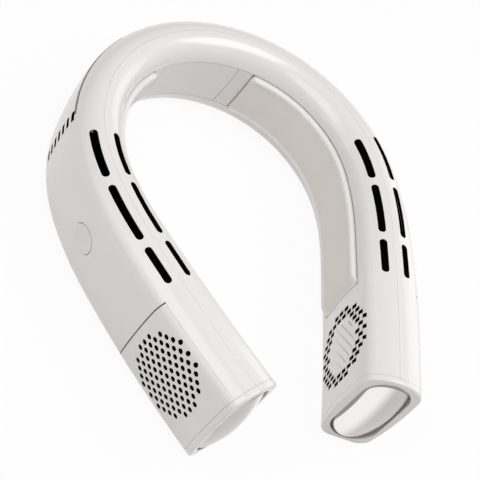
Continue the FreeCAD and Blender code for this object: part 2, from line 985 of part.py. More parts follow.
def inner_shell():
    """Neck-side half of the band with the seat, the motor bosses and the intake rings."""
    split = size("fan_cover_start")
    plain = skin("inner_skin", True, -split, split)
    pieces = [cut("inner_skin_seated", plain, feature("seat_block", seat_tool()))]
    for place in screw_places():
        boss = cylinder(screw_axis(place), size("boss_radius"), size("wall") / 2 + size("seat_depth"),
                        size("boss_depth"))
        pieces.append(feature("inner_boss", boss))
    tools = slot_tools(-1)
    head_depth = size("seat_depth") + size("screw_head_thick") + size("fit_gap")
    for place in screw_places():
        hole = cylinder(screw_axis(place), size("screw_radius") + size("fit_gap"), 0, size("boss_depth"))
        head = cylinder(screw_axis(place), size("screw_head_radius") + size("fit_gap"), 0, head_depth)
        tools.append(hole.fuse(head))
    middle = cut("inner_middle", fuse("inner_framed", pieces), group("inner_openings", tools))
    return fuse("inner_shell", [middle] + [intake_wall(name, side) for name, side in SIDES])


def bezel_outline():
    """Rounded recess outline of an end, as a face about the origin with X out and Y up."""
    gap = size("fit_gap")
    return insert_face(size("insert_width") + 2 * gap, size("insert_height") + 2 * gap,
                       size("insert_corner") + gap)


def insert_face(width, height, corner):
    """Rounded rectangle face about the origin."""
    plate = Part.makePlane(width, height, Vector(-width / 2, -height / 2, 0)).extrude(UP)
    half_turned = math.cos(math.pi / 4)
    uprights = [edge for edge in plate.Edges if abs(edge.tangentAt(edge.FirstParameter).z) > half_turned]
    rounded = plate.makeFillet(corner, uprights)
    return next(face for face in rounded.Faces if face.normalAt(0, 0).z < -half_turned)


def end_placement(side, setback):
    """Placement in an end face, set back along the arm, X out from the middle line and Z forward."""
    place = side * (size("half_length") - setback)
    line, normal, forward = middle_line(place)
    height = (END_SECTION.height) / 2
    return axes_placement(line + UP * height, normal, forward)


def end_bezel(name, side):
    """End cap ring with rounded edges, a plug that enters the band and a recess for the insert."""

    def full_outline(inset):
        def outline_at(place):
            section = Section(place)
            half = section.half_outline(inset, 0)
            other = [points[::-1] for points in mirrored_outline(half)[::-1]]
            return half + other

        return outline_at

    end = side * size("half_length")
    back = side * (size("half_length") - size("bezel_length"))
    plug_back = back - side * size("bezel_plug")
    cap = band_loft([back, (back + end) / 2, end], full_outline(0))
    tip = middle_line(end)[0]
    forward = middle_line(end)[2]
    rim = [edge for edge in cap.Edges if all(abs((vertex.Point - tip).dot(forward)) < size("shaft_gap")
                                             for vertex in edge.Vertexes)]
    cap = cap.makeFillet(size("bezel_round"), rim)
    plug = band_loft([plug_back, (plug_back + back) / 2, back + side * size("seam")],
                     full_outline(size("wall") + size("fit_gap")))
    recess = bezel_outline().extrude(UP * (size("insert_recess") + size("overrun")))
    recess.Placement = end_placement(side, size("insert_recess"))
    return cut(f"{name}_end_bezel", fuse(f"{name}_end_block", [feature(f"{name}_end_cap", cap),
                                                             feature(f"{name}_end_plug", plug)]),
               feature(f"{name}_end_recess", recess))


def end_insert(name, side):
    """Domed insert in the recess of an end bezel: a capsule-shaped slab under a doubly curved face."""
    seat = end_placement(side, size("insert_recess"))
    body = new_body(f"{name}_insert_blank", seat)
    sketch = new_sketch(body)
    rectangle(sketch, cell("insert_width"), cell("insert_height"))
    slab = pad(body, sketch, f"{cell('insert_recess')} + {cell('insert_proud')}")
    doc.recompute()
    corners = body.newObject("PartDesign::Fillet", "Corners")
    uprights = [f"Edge{index + 1}" for index, edge in enumerate(slab.Shape.Edges)
                if abs(edge.Vertexes[0].Point.z - edge.Vertexes[1].Point.z) > size("insert_recess")]
    corners.Base = (slab, uprights)
    corners.setExpression("Radius", cell("insert_corner"))
    doc.recompute()
    across = size("insert_across_radius")
    around = size("insert_up_radius")
    dome = Part.makeTorus(around - across, across)
    middle = Vector(0, 0, size("insert_recess") + size("insert_proud") - around)
    upright = FreeCAD.Rotation(Vector(0, 1, 0), FULL_TURN / 4)
    dome.Placement = seat.multiply(FreeCAD.Placement(middle, upright))
    return common(f"{name}_end_insert", body, feature(f"{name}_insert_dome", dome))


# Pieces seated on the neck side


def seat_strip(lower, upper, crown):
    """Outline of a strip in the seat, from just over its floor to an edge and a crown over the face."""
    low_gap = size("seat_low") + size("fit_gap")
    high_drop = size("seat_top_drop") + size("fit_gap")

    def outline_at(place):
        section = Section(place)
        high = section.height - high_drop
        centre = Vector(-section.side.x, section.side.y)
        rise = crown(place)
        floor = arc_points(centre, Vector(-section.side_out(low_gap, -lower), low_gap),
                           Vector(-section.side_out(high, -lower), high))
        far_low = Vector(-section.side_out(low_gap, -upper(place)), low_gap)
        far_high = Vector(-section.side_out(high, -upper(place)), high)
        middle = (low_gap + high) / 2
        top = Vector(-section.side_out(middle, -rise), middle)
        return [floor, [floor[2], far_high], [far_high, top, far_low], [far_low, floor[0]]]

    return outline_at


def flush_panel(label, start, end):
    """Thin panel that fills the seat flush with the wall."""
    level = lambda place: 0
    outline_at = seat_strip(size("seat_gap") - size("seat_depth"), level, level)
    return feature(label, band_loft(stations(start, end), outline_at))


def neck_pad(name, side):
    """Soft pad with a crowned face and drawn-in ends."""
    start = size("link_end") + size("fit_gap")
    end = size("pad_end")
    ends = sorted((side * start, side * end))
    turn_in = size("pad_end_round")

    def share(place):
        reach = min(abs(place) - start, end - abs(place)) / turn_in
        reach = min(reach, 1)
        low = size("pad_end_share")
        return low + (1 - low) * math.sqrt(1 - (1 - reach) ** 2)

    edge = lambda place: size("pad_edge") * share(place)
    crown = lambda place: size("pad_crown") * share(place)
    outline_at = seat_strip(size("seat_gap") - size("seat_depth"), edge, crown)
    places = [ends[0]] + stations(ends[0] + turn_in, ends[1] - turn_in) + [ends[1]]
    return feature(f"{name}_neck_pad", band_loft(places, outline_at))


# Air path


def duct_floor(name, side):
    """Floor of an arm's air duct with the wall that closes its rear end."""
    start = size("duct_start")
    end = size("fan_place") - size("impeller_radius") - size("scroll_gap") - size("scroll_thick")
    gap = size("wall") + size("fit_gap")
    top = size("duct_floor_top")
    floor_low = top - size("duct_floor_thick")

    def half_width(section):
        return section.side_out(floor_low, gap)

    ends = sorted((side * start, side * end))
    floor = band_block(ends[0], ends[1], lambda section: -half_width(section), half_width,
                       fixed(floor_low), fixed(top))
    ends = sorted((side * start, side * (start + size("duct_end_wall"))))
    wall = band_block(ends[0], ends[1], lambda section: -section.corner.x, lambda section: section.corner.x,
                      fixed(floor_low), lambda section: section.top_height(section.corner.x, gap))
    pieces = [feature(f"{name}_duct_plate", floor), feature(f"{name}_duct_wall", wall)]
    return fuse(f"{name}_duct_floor", pieces)


def scroll(name, side):
    """Spiral wall round the impeller that leads its air into the duct."""
    inner = size("impeller_radius") + size("scroll_gap")
    growth = size("scroll_growth")
    thick = size("scroll_thick")
    start = math.radians(FULL_TURN / 2 - size("scroll_start_angle"))
    end = math.radians(FULL_TURN + size("scroll_end_angle"))
    quarter = math.pi / 2
    arcs = (
        (Vector(0, 0), inner, start, 3 * quarter),
        (Vector(0, growth), inner + growth, 3 * quarter, 4 * quarter),
        (Vector(-growth, growth), inner + 2 * growth, 4 * quarter, end),
    )

    def spot(centre, radius, angle):
        point = centre + Vector(math.cos(angle), math.sin(angle)) * radius
        return Vector(point.x, -side * point.y, -size("scroll_half_width"))

    def wall_edges(offset):
        edges = []
        for centre, radius, first, last in arcs:
            points = [spot(centre, radius + offset, angle) for angle in (first, (first + last) / 2, last)]
            edges.append(Part.Arc(*points).toShape())
        return edges

    inside = wall_edges(0)
    outside = wall_edges(thick)

    def wall_end(centre, radius, angle):
        return Part.LineSegment(spot(centre, radius, angle), spot(centre, radius + thick, angle)).toShape()

    caps = [wall_end(arcs[0][0], inner, start), wall_end(arcs[2][0], arcs[2][1], end)]
    ring = Part.Wire(Part.__sortEdges__(inside + outside + caps))
    wall = Part.Face(ring).extrude(UP * (2 * size("scroll_half_width")))
    return feature(f"{name}_fan_scroll", wall, fan_axis(side))


# Fans


def impeller(name, side):
    """Double-inlet impeller: hub cup, web, nose, swept blades and two blade rings."""
    body = new_body(f"{name}_impeller", fan_axis(side))
    profile = new_sketch(body, "XZ_Plane")
    web_low = f"-({cell('web_place')} + {cell('web_thick')})"
    web_high = f"-{cell('web_place')}"
    skirt_low = f"{web_low} - {cell('cup_length')}"
    hub_inner = f"{cell('cup_radius')} + {cell('shaft_gap')}"
    hub_outer = f"{hub_inner} + {cell('hub_wall')}"
    nose_top = f"{cell('nose_length')} - {cell('web_place')}"
    rim = cell("impeller_radius")
    nose = cell("nose_radius")
    outline(profile, [("0", web_low), (hub_inner, web_low), (hub_inner, skirt_low), (hub_outer, skirt_low),
                      (hub_outer, web_low), (rim, web_low), (rim, web_high), (nose, web_high),
                      (f"{nose} / 2", nose_top), ("0", nose_top)])
    revolve(body, profile)
    blade = new_sketch(body, lift=f"-{cell('impeller_inner')}")
    half = f"{cell('blade_thick')} / 2"
    sweep = f"({cell('impeller_radius')} - {cell('blade_inner')}) * tan({cell('blade_sweep')}) * {side}"
    tip = f"{cell('impeller_radius')} - {cell('blade_thick')} / 2"
    outline(blade, [(cell("blade_inner"), f"-{half}"), (tip, f"{sweep} - {half}"), (tip, f"{sweep} + {half}"),
                    (cell("blade_inner"), half)])
    span = f"{cell('impeller_inner')} + {cell('impeller_outer')}"
    blade_pad = pad(body, blade, span)
    polar_pattern(body, blade_pad, cell("blade_count"))
    for lift in (f"-{cell('impeller_inner')}", f"{cell('impeller_outer')} - {cell('blade_ring_thick')}"):
        ring = new_sketch(body, lift=lift)
        circle(ring, f"{cell('impeller_radius')} + {cell('blade_thick')}")
        circle(ring, f"{cell('impeller_radius')} - {cell('blade_ring_width')}")
        body.Tip = pad(body, ring, cell("blade_ring_thick"))
    return body


CUP_LOW = f"-({cell('web_place')} + {cell('web_thick')} + {cell('cup_length')})"
CUP_HIGH = f"-({cell('web_place')} + {cell('web_thick')} + {cell('shaft_gap')})"


def rotor_cup(name, side):
    """Steel cup pressed into the impeller hub, with a bore for the shaft."""
    body = new_body(f"{name}_rotor_cup", fan_axis(side))
    profile = new_sketch(body, "XZ_Plane")
    inner = f"{cell('cup_radius')} - {cell('cup_wall')}"
    bore = f"{cell('shaft_radius')} + {cell('shaft_gap')}"
    roof = f"{CUP_HIGH} - {cell('cup_wall')}"
    outline(profile, [(bore, roof), (inner, roof), (inner, CUP_LOW), (cell("cup_radius"), CUP_LOW),
                      (cell("cup_radius"), CUP_HIGH), (bore, CUP_HIGH)])
    revolve(body, profile)
    return body


def magnet_ring(name, side):
    """Ring magnet on the inside of the rotor cup."""
    body = new_body(f"{name}_magnet_ring", fan_axis(side))
    sketch = new_sketch(body, lift=CUP_LOW)
    outer = f"{cell('cup_radius')} - {cell('cup_wall')} - {cell('shaft_gap')}"
    circle(sketch, outer)
    circle(sketch, f"{outer} - {cell('magnet_thick')}")
    pad(body, sketch, cell("magnet_length"))
    return body


def rotor_shaft(name, side):
    """Steel shaft between the rotor cup and the bearing."""
    shaft = doc.addObject("Part::Cylinder", f"{name}_rotor_shaft")
    shaft.Label = f"{name}_rotor_shaft"
    shaft.setExpression("Radius", cell("shaft_radius"))
    shaft.setExpression("Height", f"{cell('base_out')} - {cell('web_place')} - {cell('web_thick')}"
                                  f" - {cell('shaft_gap')}")
    foot = FreeCAD.Placement(Vector(0, 0, -size("base_out")), FreeCAD.Rotation())
    shaft.Placement = fan_axis(side).multiply(foot)
    return shaft


def motor_base(name, side):
    """Round plate screwed to the neck-side wall, with the tube that holds bearing and stator."""
    body = new_body(f"{name}_motor_base", fan_axis(side))
    profile = new_sketch(body, "XZ_Plane")
    bore = f"{cell('bearing_radius')} + {cell('shaft_gap')}"
    low = f"-{cell('base_out')}"
    face = f"{cell('base_thick')} - {cell('base_out')}"
    tube_top = f"{face} + {cell('base_tube_length')}"
    rim = cell("base_radius")
    tube = cell("base_tube")
    outline(profile, [(bore, low), (rim, low), (rim, face), (tube, face), (tube, tube_top), (bore, tube_top)])
    revolve(body, profile)
    hole = new_sketch(body, lift=face)
    circle(hole, f"{cell('motor_screw_radius')} + {cell('shaft_gap')}", cell("base_screw_circle"))
    drilled = pocket(body, hole, f"{cell('base_thick')} + {cell('overrun')}")
    polar_pattern(body, drilled, cell("base_screw_count"))
    return body


def bearing(name, side):
    """Sintered sleeve bearing inside the tube of the motor base."""
    body = new_body(f"{name}_bearing", fan_axis(side))
    sketch = new_sketch(body, lift=f"-{cell('base_out')}")
    circle(sketch, cell("bearing_radius"))
    circle(sketch, f"{cell('shaft_radius')} + {cell('shaft_gap')}")
    pad(body, sketch, f"{cell('base_thick')} + {cell('base_tube_length')}")
    return body


def stator(name, side):
    """Stator: core ring, teeth and wound coils."""
    body = new_body(f"{name}_stator", fan_axis(side))
    lift = f"{cell('base_thick')} - {cell('base_out')} + {cell('stator_lift')}"
    core = new_sketch(body, lift=lift)
    circle(core, cell("stator_core"))
    circle(core, f"{cell('base_tube')} + {cell('shaft_gap')}")
    pad(body, core, cell("stator_length"))
    tooth = new_sketch(body, lift=lift)
    half = f"{cell('tooth_width')} / 2"
    root = f"{cell('base_tube')} + {cell('wall')} / 2"
    coil_half = f"{cell('coil_width')} / 2"
    coil_start = f"{cell('stator_radius')} - {cell('tooth_width')} / 2 - {cell('coil_length')}"
    coil_end = f"{cell('stator_radius')} - {cell('tooth_width')} / 2"
    outline(tooth, [(root, f"-{half}"), (coil_start, f"-{half}"), (coil_start, f"-{coil_half}"),
                    (coil_end, f"-{coil_half}"), (coil_end, f"-{cell('tooth_width')}"),
                    (cell("stator_radius"), f"-{half}"), (cell("stator_radius"), half),
                    (coil_end, cell("tooth_width")), (coil_end, coil_half), (coil_start, coil_half),
                    (coil_start, half), (root, half)])
    tooth_pad = pad(body, tooth, cell("stator_length"))
    polar_pattern(body, tooth_pad, cell("tooth_count"))
    return body


# Power


def cell_axis(side):
    """Placement at the middle of an arm's battery cell, Z along the cell and X level."""
    half = size("cell_length") / 2
    rear = middle_line(side * (size("cell_place") - half))[0]
    front = middle_line(side * (size("cell_place") + half))[0]
    chord = front - rear
    chord.normalize()
    belly = middle_line(side * size("cell_place"))[0]
    middle = ((rear + front) * 0.5 + belly) * 0.5 + UP * size("cell_height")
    return axes_placement(middle, chord.cross(UP), chord)


def battery_cell(name, side):
    """Cylindrical cell with its positive nub towards the back."""
    body = new_body(f"{name}_battery_cell", cell_axis(side))
    profile = new_sketch(body, "XZ_Plane")
    half = f"{cell('cell_length')} / 2"
    low = f"-{half}"
    shoulder = f"{cell('cell_nub_length')} - {half}"
    outline(profile, [("0", low), (cell("cell_nub_radius"), low), (cell("cell_nub_radius"), shoulder),
                      (f"{cell('cell_radius')} - {cell('cell_round')}", shoulder),
                      (cell("cell_radius"), f"{shoulder} + {cell('cell_round')}"),
                      (cell("cell_radius"), f"{half} - {cell('cell_round')}"),
                      (f"{cell('cell_radius')} - {cell('cell_round')}", half), ("0", half)])
    revolve(body, profile)
    return body


def cell_saddle(name, side):
    """Plastic saddle under a battery cell, standing on the band's floor."""
    axis = cell_axis(side)
    floor = size("wall") + size("fit_gap")
    stand = FreeCAD.Placement(Vector(axis.Base.x, axis.Base.y, 0), axis.Rotation)
    base = doc.addObject("Part::Box", f"{name}_saddle_block")
    base.setExpression("Length", cell("saddle_width"))
    base.setExpression("Width", cell("saddle_height"))
    base.setExpression("Height", cell("saddle_length"))
    up_sign = axis.Rotation.multVec(Vector(0, 1, 0)).z
    shift = floor if up_sign > 0 else -floor - size("saddle_height")
    corner = Vector(-size("saddle_width") / 2, shift, -size("saddle_length") / 2)
    base.Placement = stand.multiply(FreeCAD.Placement(corner, FreeCAD.Rotation()))
    half = size("saddle_length") / 2 + size("overrun")
    hollow = cylinder(axis, size("cell_radius") + size("fit_gap"), -half, half)
    return cut(f"{name}_cell_saddle", base, feature(f"{name}_saddle_hollow", hollow))


BUTTON_FOOT = size("wall") + size("button_drop") + size("button_flange_thick")
SWITCH_TOP = BUTTON_FOOT + size("button_stroke") + size("fit_gap")
SWITCH_BOARD_DEPTH = SWITCH_TOP + size("switch_thick")
CHARGE_POST_Y = BACK_Y + size("charge_post_out")
CHARGE_BOARD_Y = socket_mouth() - size("charge_board_setback") - size("charge_board_width") / 2


def power_button():
    """Dished round push button with a flange that keeps it behind the wall."""
    body = new_body("power_button", button_axis())
    profile = new_sketch(body, "XZ_Plane")
    foot = f"-({cell('wall')} + {cell('button_drop')} + {cell('button_flange_thick')})"
    ledge = f"-({cell('wall')} + {cell('button_drop')})"
    flange = f"{cell('button_radius')} + {cell('button_flange')}"
    dish = f"{cell('button_proud')} - {cell('button_dish')}"
    outline(profile, [("0", foot), (flange, foot), (flange, ledge), (cell("button_radius"), ledge),
                      (cell("button_radius"), cell("button_proud")),
                      (f"{cell('button_radius')} - {cell('button_dish')}", cell("button_proud")),
                      (f"{cell('button_radius')} / 2", dish), ("0", dish)])
    revolve(body, profile)
    return body


def switch_plunger():
    """Plunger of the push switch, carried down by the button."""
    body = new_body("switch_plunger", button_axis())
    sketch = new_sketch(body, lift=f"-({cell('wall')} + {cell('button_drop')} + {cell('button_flange_thick')}"
                                   f" + {cell('shaft_gap')} + {cell('plunger_length')})")
    circle(sketch, cell("plunger_radius"))
    pad(body, sketch, cell("plunger_length"))
    return body


def button_switch():
    """Housing of the push switch with the bore of its plunger."""
    body = new_body("button_switch", button_axis())
    top = (f"-({cell('wall')} + {cell('button_drop')} + {cell('button_flange_thick')}"
           f" + {cell('button_stroke')} + {cell('fit_gap')})")
    sketch = new_sketch(body, lift=top)
    rectangle(sketch, cell("switch_width"), cell("switch_width"))
    pad(body, sketch, cell("switch_thick"), True)
    bore = new_sketch(body, lift=top)
    circle(bore, f"{cell('plunger_radius')} + {cell('shaft_gap')}")
    body.Tip = pocket(body, bore, cell("switch_bore_depth"))
    return body


def switch_board():
    """Small board behind the button that carries the switch."""
    axis = button_axis()
    board = doc.addObject("Part::Box", "switch_board")
    board.Label = "switch_board"
    board.setExpression("Length", cell("switch_board_length"))
    board.setExpression("Width", cell("switch_board_width"))
    board.setExpression("Height", cell("board_thick"))
    corner = Vector(-size("switch_board_length") / 2, -size("switch_board_width") / 2,
                    -SWITCH_BOARD_DEPTH - size("board_thick"))
    board.Placement = axis.multiply(FreeCAD.Placement(corner, FreeCAD.Rotation()))
    return board


def charge_board():
    """Charging board across the back, on two posts."""
    middle = Vector(0, CHARGE_BOARD_Y, size("charge_board_height"))
    body = new_body("charge_board", FreeCAD.Placement(middle, FreeCAD.Rotation()))
    sketch = new_sketch(body)
    rectangle(sketch, cell("charge_board_length"), cell("charge_board_width"))
    pad(body, sketch, cell("board_thick"))
    return body


def charge_socket():
    """Charging socket: metal shell with a closed back and a contact tongue."""
    middle = socket_middle()
    mouth = socket_mouth()
    wall = size("socket_wall")
    back = mouth - size("socket_length")
    outer = socket_outline(size("socket_width"), size("socket_height"), middle, back)
    hollow = socket_outline(size("socket_width") - 2 * wall, size("socket_height") - 2 * wall, middle,
                            back + size("tongue_back"))
    shell = feature("socket_shell", outer.extrude(Vector(0, size("socket_length"), 0)))
    bore = feature("socket_bore", hollow.extrude(Vector(0, size("socket_length"), 0)))
    tongue = doc.addObject("Part::Box", "socket_tongue")
    tongue.setExpression("Length", cell("tongue_width"))
    tongue.setExpression("Width", f"{cell('socket_length')} - {cell('tongue_back')}")
    tongue.setExpression("Height", cell("tongue_thick"))
    tongue.Placement.Base = Vector(-size("tongue_width") / 2, back + size("tongue_back") / 2,
                                   middle - size("tongue_thick") / 2)
    return fuse("charge_socket", [cut("socket_case", shell, bore), tongue])


# Wiring and fasteners


def band_tube(label, start, end, out, height, radius):
    """Round tube along the band at a constant distance from the middle line."""
    path = Part.Wire(band_arcs(start, end, out, height))
    line, normal, forward = middle_line(start)
    ring = Part.Wire(Part.Circle(in_space(start, Vector(out, height)), forward, radius).toShape())
    tube = path.makePipeShell([ring], True, False)
    print(label, "volume against section times length", tube.Volume / (math.pi * radius**2 * path.Length))
    return feature(label, tube)


def screw(placement, radius, head_radius, head_thick, head_start, length):
    """Pan-head screw along a placement's Z: head first, then the shank."""
    head = cylinder(placement, head_radius, head_start, head_start + head_thick)
    shank = cylinder(placement, radius, head_start + head_thick, head_start + head_thick + length)
    return head.fuse(shank).removeSplitter()


def case_screws():
    """Screws under the pads that hold the two halves of the band together."""
    start = size("seat_depth") + size("fit_gap")
    return group("case_screws", [screw(screw_axis(place), size("screw_radius"), size("screw_head_radius"),
                                       size("screw_head_thick"), start, size("screw_length"))
                                 for place in screw_places()])


def motor_screws():
    """Screws that hold both motor bases to the neck-side wall."""
    top = size("base_thick") - size("base_out") + size("motor_screw_head_thick")
    flip = FreeCAD.Placement(Vector(0, 0, top), FreeCAD.Rotation(Vector(1, 0, 0), FULL_TURN / 2))
    places = [place.multiply(flip) for name, side in SIDES for place in base_screw_places(side)]
    return group("motor_screws", [screw(place, size("motor_screw_radius"), size("motor_screw_head"),
                                        size("motor_screw_head_thick"), 0, size("motor_screw_length"))
                                  for place in places])


def build():
    """All sub-parts of the neck fan, by node name."""
    outer_skin = skin("outer_skin", False, -shell_reach(), shell_reach())
    parts = [outer_shell(outer_skin), inner_shell(), rear_cover(outer_skin)]
    plate = size("plate_half_length")
    parts.append(flush_panel("rear_neck_plate", -plate, plate))
    for name, side in SIDES:
        parts.append(fan_cover(name, side))
        parts.append(end_bezel(name, side))
        parts.append(end_insert(name, side))
        link = sorted((side * (plate + size("fit_gap")), side * size("link_end")))
        parts.append(flush_panel(f"{name}_link_panel", link[0], link[1]))
        parts.append(neck_pad(name, side))
        parts.append(duct_floor(name, side))
        parts.append(scroll(name, side))
        parts += [maker(name, side) for maker in (impeller, rotor_cup, magnet_ring, rotor_shaft, motor_base,
                                                  bearing, stator, battery_cell, cell_saddle)]
        lead = sorted((side * size("lead_start"), side * size("lead_end")))
        lead_height = size("wall") + size("lead_radius") + size("fit_gap")
        parts.append(band_tube(f"{name}_motor_lead", lead[0], lead[1], size("lead_out"), lead_height,
                               size("lead_radius")))
    parts += [power_button(), switch_plunger(), button_switch(), switch_board()]
    parts += [charge_board(), charge_socket()]
    parts.append(band_tube("wiring_loom", -size("loom_end"), size("loom_end"), size("loom_out"),
                           size("loom_height"), size("loom_radius")))
    parts += [case_screws(), motor_screws()]
    return parts


def export(parts):
    """Check every object and sub-part, then write one STEP file per sub-part."""
    failed = [item.Label for item in doc.Objects if "Invalid" in item.State or "Error" in item.State]
    for part in parts:
        if part.Shape.isNull() or not part.Shape.isValid() or part.Shape.Volume <= 0:
            failed.append(part.Label)
    if failed:
        raise RuntimeError("failed objects: " + ", ".join(failed))
    os.makedirs("parts", exist_ok=True)
    for part in parts:
        part.Shape.exportStep(f"parts/{part.Label}.step")
        print(part.Label, len(part.Shape.Solids), round(part.Shape.Volume, 1))


sub_parts = build()
doc.recompute()
export(sub_parts)
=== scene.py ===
import logging
import math
from collections.abc import Callable
from dataclasses import dataclass
from enum import Enum

import bmesh
import bpy
from mathutils import Matrix, Vector


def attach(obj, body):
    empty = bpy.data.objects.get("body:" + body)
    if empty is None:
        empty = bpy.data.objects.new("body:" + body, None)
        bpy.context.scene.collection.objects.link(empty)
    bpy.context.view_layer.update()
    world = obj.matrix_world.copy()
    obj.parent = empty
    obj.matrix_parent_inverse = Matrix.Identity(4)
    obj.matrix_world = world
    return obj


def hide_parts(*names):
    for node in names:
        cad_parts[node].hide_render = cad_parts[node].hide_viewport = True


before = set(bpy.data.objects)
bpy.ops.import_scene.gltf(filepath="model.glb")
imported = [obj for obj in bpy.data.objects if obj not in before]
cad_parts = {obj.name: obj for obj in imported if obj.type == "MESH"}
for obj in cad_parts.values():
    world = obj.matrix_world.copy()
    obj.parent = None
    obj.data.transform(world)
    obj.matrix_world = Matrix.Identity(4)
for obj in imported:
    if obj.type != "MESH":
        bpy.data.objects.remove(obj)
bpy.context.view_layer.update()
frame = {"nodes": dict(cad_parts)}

LOG = logging.getLogger("neck_fan")
BAND = "band"
WHITE = (1.0, 1.0, 1.0, 1.0)
MERGE_DISTANCE = 0.000001

Shape = Callable[[float, float], Vector]
Outline = Callable[[float, float], tuple[float, float]]
Placing = Callable[[float, float, float], Vector]


class Arm(Enum):
    """The two arms of the band, by the sign of X."""

    LEFT = -1
    RIGHT = 1

    @property
    def word(self) -> str:
        """The arm's name as the nodes write it."""
        return self.name.lower()


class Socket:
    """A shader value that takes part in Python arithmetic."""

    def __init__(self, tree: bpy.types.NodeTree, socket: bpy.types.NodeSocket) -> None:
        """Wrap one output socket of a node tree."""
        self.tree = tree
        self.socket = socket

    def _math(self, operation: str, first: "Socket | float", second: "Socket | float") -> "Socket":
        """Add one Math node.

        Args:
            operation: the node's operation.
            first: its first operand.
            second: its second operand.

        Returns:
            The node's result.
        """
        node = self.tree.nodes.new("ShaderNodeMath")
        node.operation = operation
        for target, value in zip(node.inputs, (first, second)):
            if isinstance(value, Socket):
                self.tree.links.new(value.socket, target)
            else:
                target.default_value = value
        return Socket(self.tree, node.outputs[0])

    def __add__(self, other: "Socket | float") -> "Socket":
        """Sum."""
        return self._math("ADD", self, other)

    def __radd__(self, other: float) -> "Socket":
        """Sum with a number first."""
        return self._math("ADD", other, self)

    def __sub__(self, other: "Socket | float") -> "Socket":
        """Difference."""
        return self._math("SUBTRACT", self, other)

    def __rsub__(self, other: float) -> "Socket":
        """Difference from a number."""
        return self._math("SUBTRACT", other, self)

    def __mul__(self, other: "Socket | float") -> "Socket":
        """Product."""
        return self._math("MULTIPLY", self, other)

    def __rmul__(self, other: float) -> "Socket":
        """Product with a number first."""
        return self._math("MULTIPLY", other, self)

    def size(self) -> "Socket":
        """The value without its sign."""
        return self._math("ABSOLUTE", self, 0.0)

    def most(self, other: "Socket | float") -> "Socket":
        """The larger of two values."""
        return self._math("MAXIMUM", self, other)

    def root(self) -> "Socket":
        """The square root."""
        return self._math("SQRT", self, 0.0)


class Graph:
    """The node tree of one material."""

    def __init__(self, name: str) -> None:
        """Start an empty material.

        Args:
            name: the material's name.
        """
        self.material = bpy.data.materials.new(name)
        self.material.use_nodes = True
        self.tree = self.material.node_tree
        self.tree.nodes.clear()

    def node(self, kind: str, settings: dict | None = None, inputs: dict | None = None) -> bpy.types.Node:
        """Add any node.

        Args:
            kind: the node's type.
            settings: attributes by name.
            inputs: values or links by socket name or number.

        Returns:
            The new node.
        """
        node = self.tree.nodes.new(kind)
        for name, value in (settings or {}).items():
            setattr(node, name, value)
        for name, value in (inputs or {}).items():
            if isinstance(value, Socket):
                self.tree.links.new(value.socket, node.inputs[name])
            else:
                node.inputs[name].default_value = value
        return node

    def out(self, node: bpy.types.Node, name: str | int = 0) -> Socket:
        """One output of a node."""
        return Socket(self.tree, node.outputs[name])

    def place(self) -> Socket:
        """Object coordinates."""
        return self.out(self.node("ShaderNodeTexCoord"), "Object")

    def noise(self, scale: float, detail: float = 3.0) -> Socket:
        """Noise on Object coordinates, from 0 to 1."""
        return self.out(self.node("ShaderNodeTexNoise", None,
                                  {"Vector": self.place(), "Scale": scale, "Detail": detail}), 0)

    def blend(self, share: Socket, first: Socket | tuple, second: Socket | tuple) -> Socket:
        """Mix of two colours by a share."""
        first, second = (tint if isinstance(tint, Socket) else (*tint, 1.0) for tint in (first, second))
        return self.out(self.node("ShaderNodeMix", {"data_type": "RGBA"}, {0: share, 6: first, 7: second}), 2)

    def ramp(self, value: Socket, low: float, high: float) -> Socket:
        """Ease from 0 to 1 as a value goes from low to high."""
        return self.out(self.node("ShaderNodeMapRange", {"interpolation_type": "SMOOTHSTEP"},
                                  {"Value": value, "From Min": low, "From Max": high}))

    def split(self) -> tuple[Socket, Socket, Socket]:
        """The three object coordinates."""
        node = self.node("ShaderNodeSeparateXYZ", None, {0: self.place()})
        return self.out(node, 0), self.out(node, 1), self.out(node, 2)

    def bump(self, height: Socket, strength: float, depth: float) -> Socket:
        """Normal from a height."""
        return self.out(self.node("ShaderNodeBump", None,
                                  {"Height": height, "Strength": strength, "Distance": depth}), 0)

    def close(self, shader: bpy.types.Node) -> bpy.types.Material:
        """Link a shader to the surface and give the material back."""
        end = self.node("ShaderNodeOutputMaterial")
        self.tree.links.new(shader.outputs[0], end.inputs["Surface"])
        return self.material


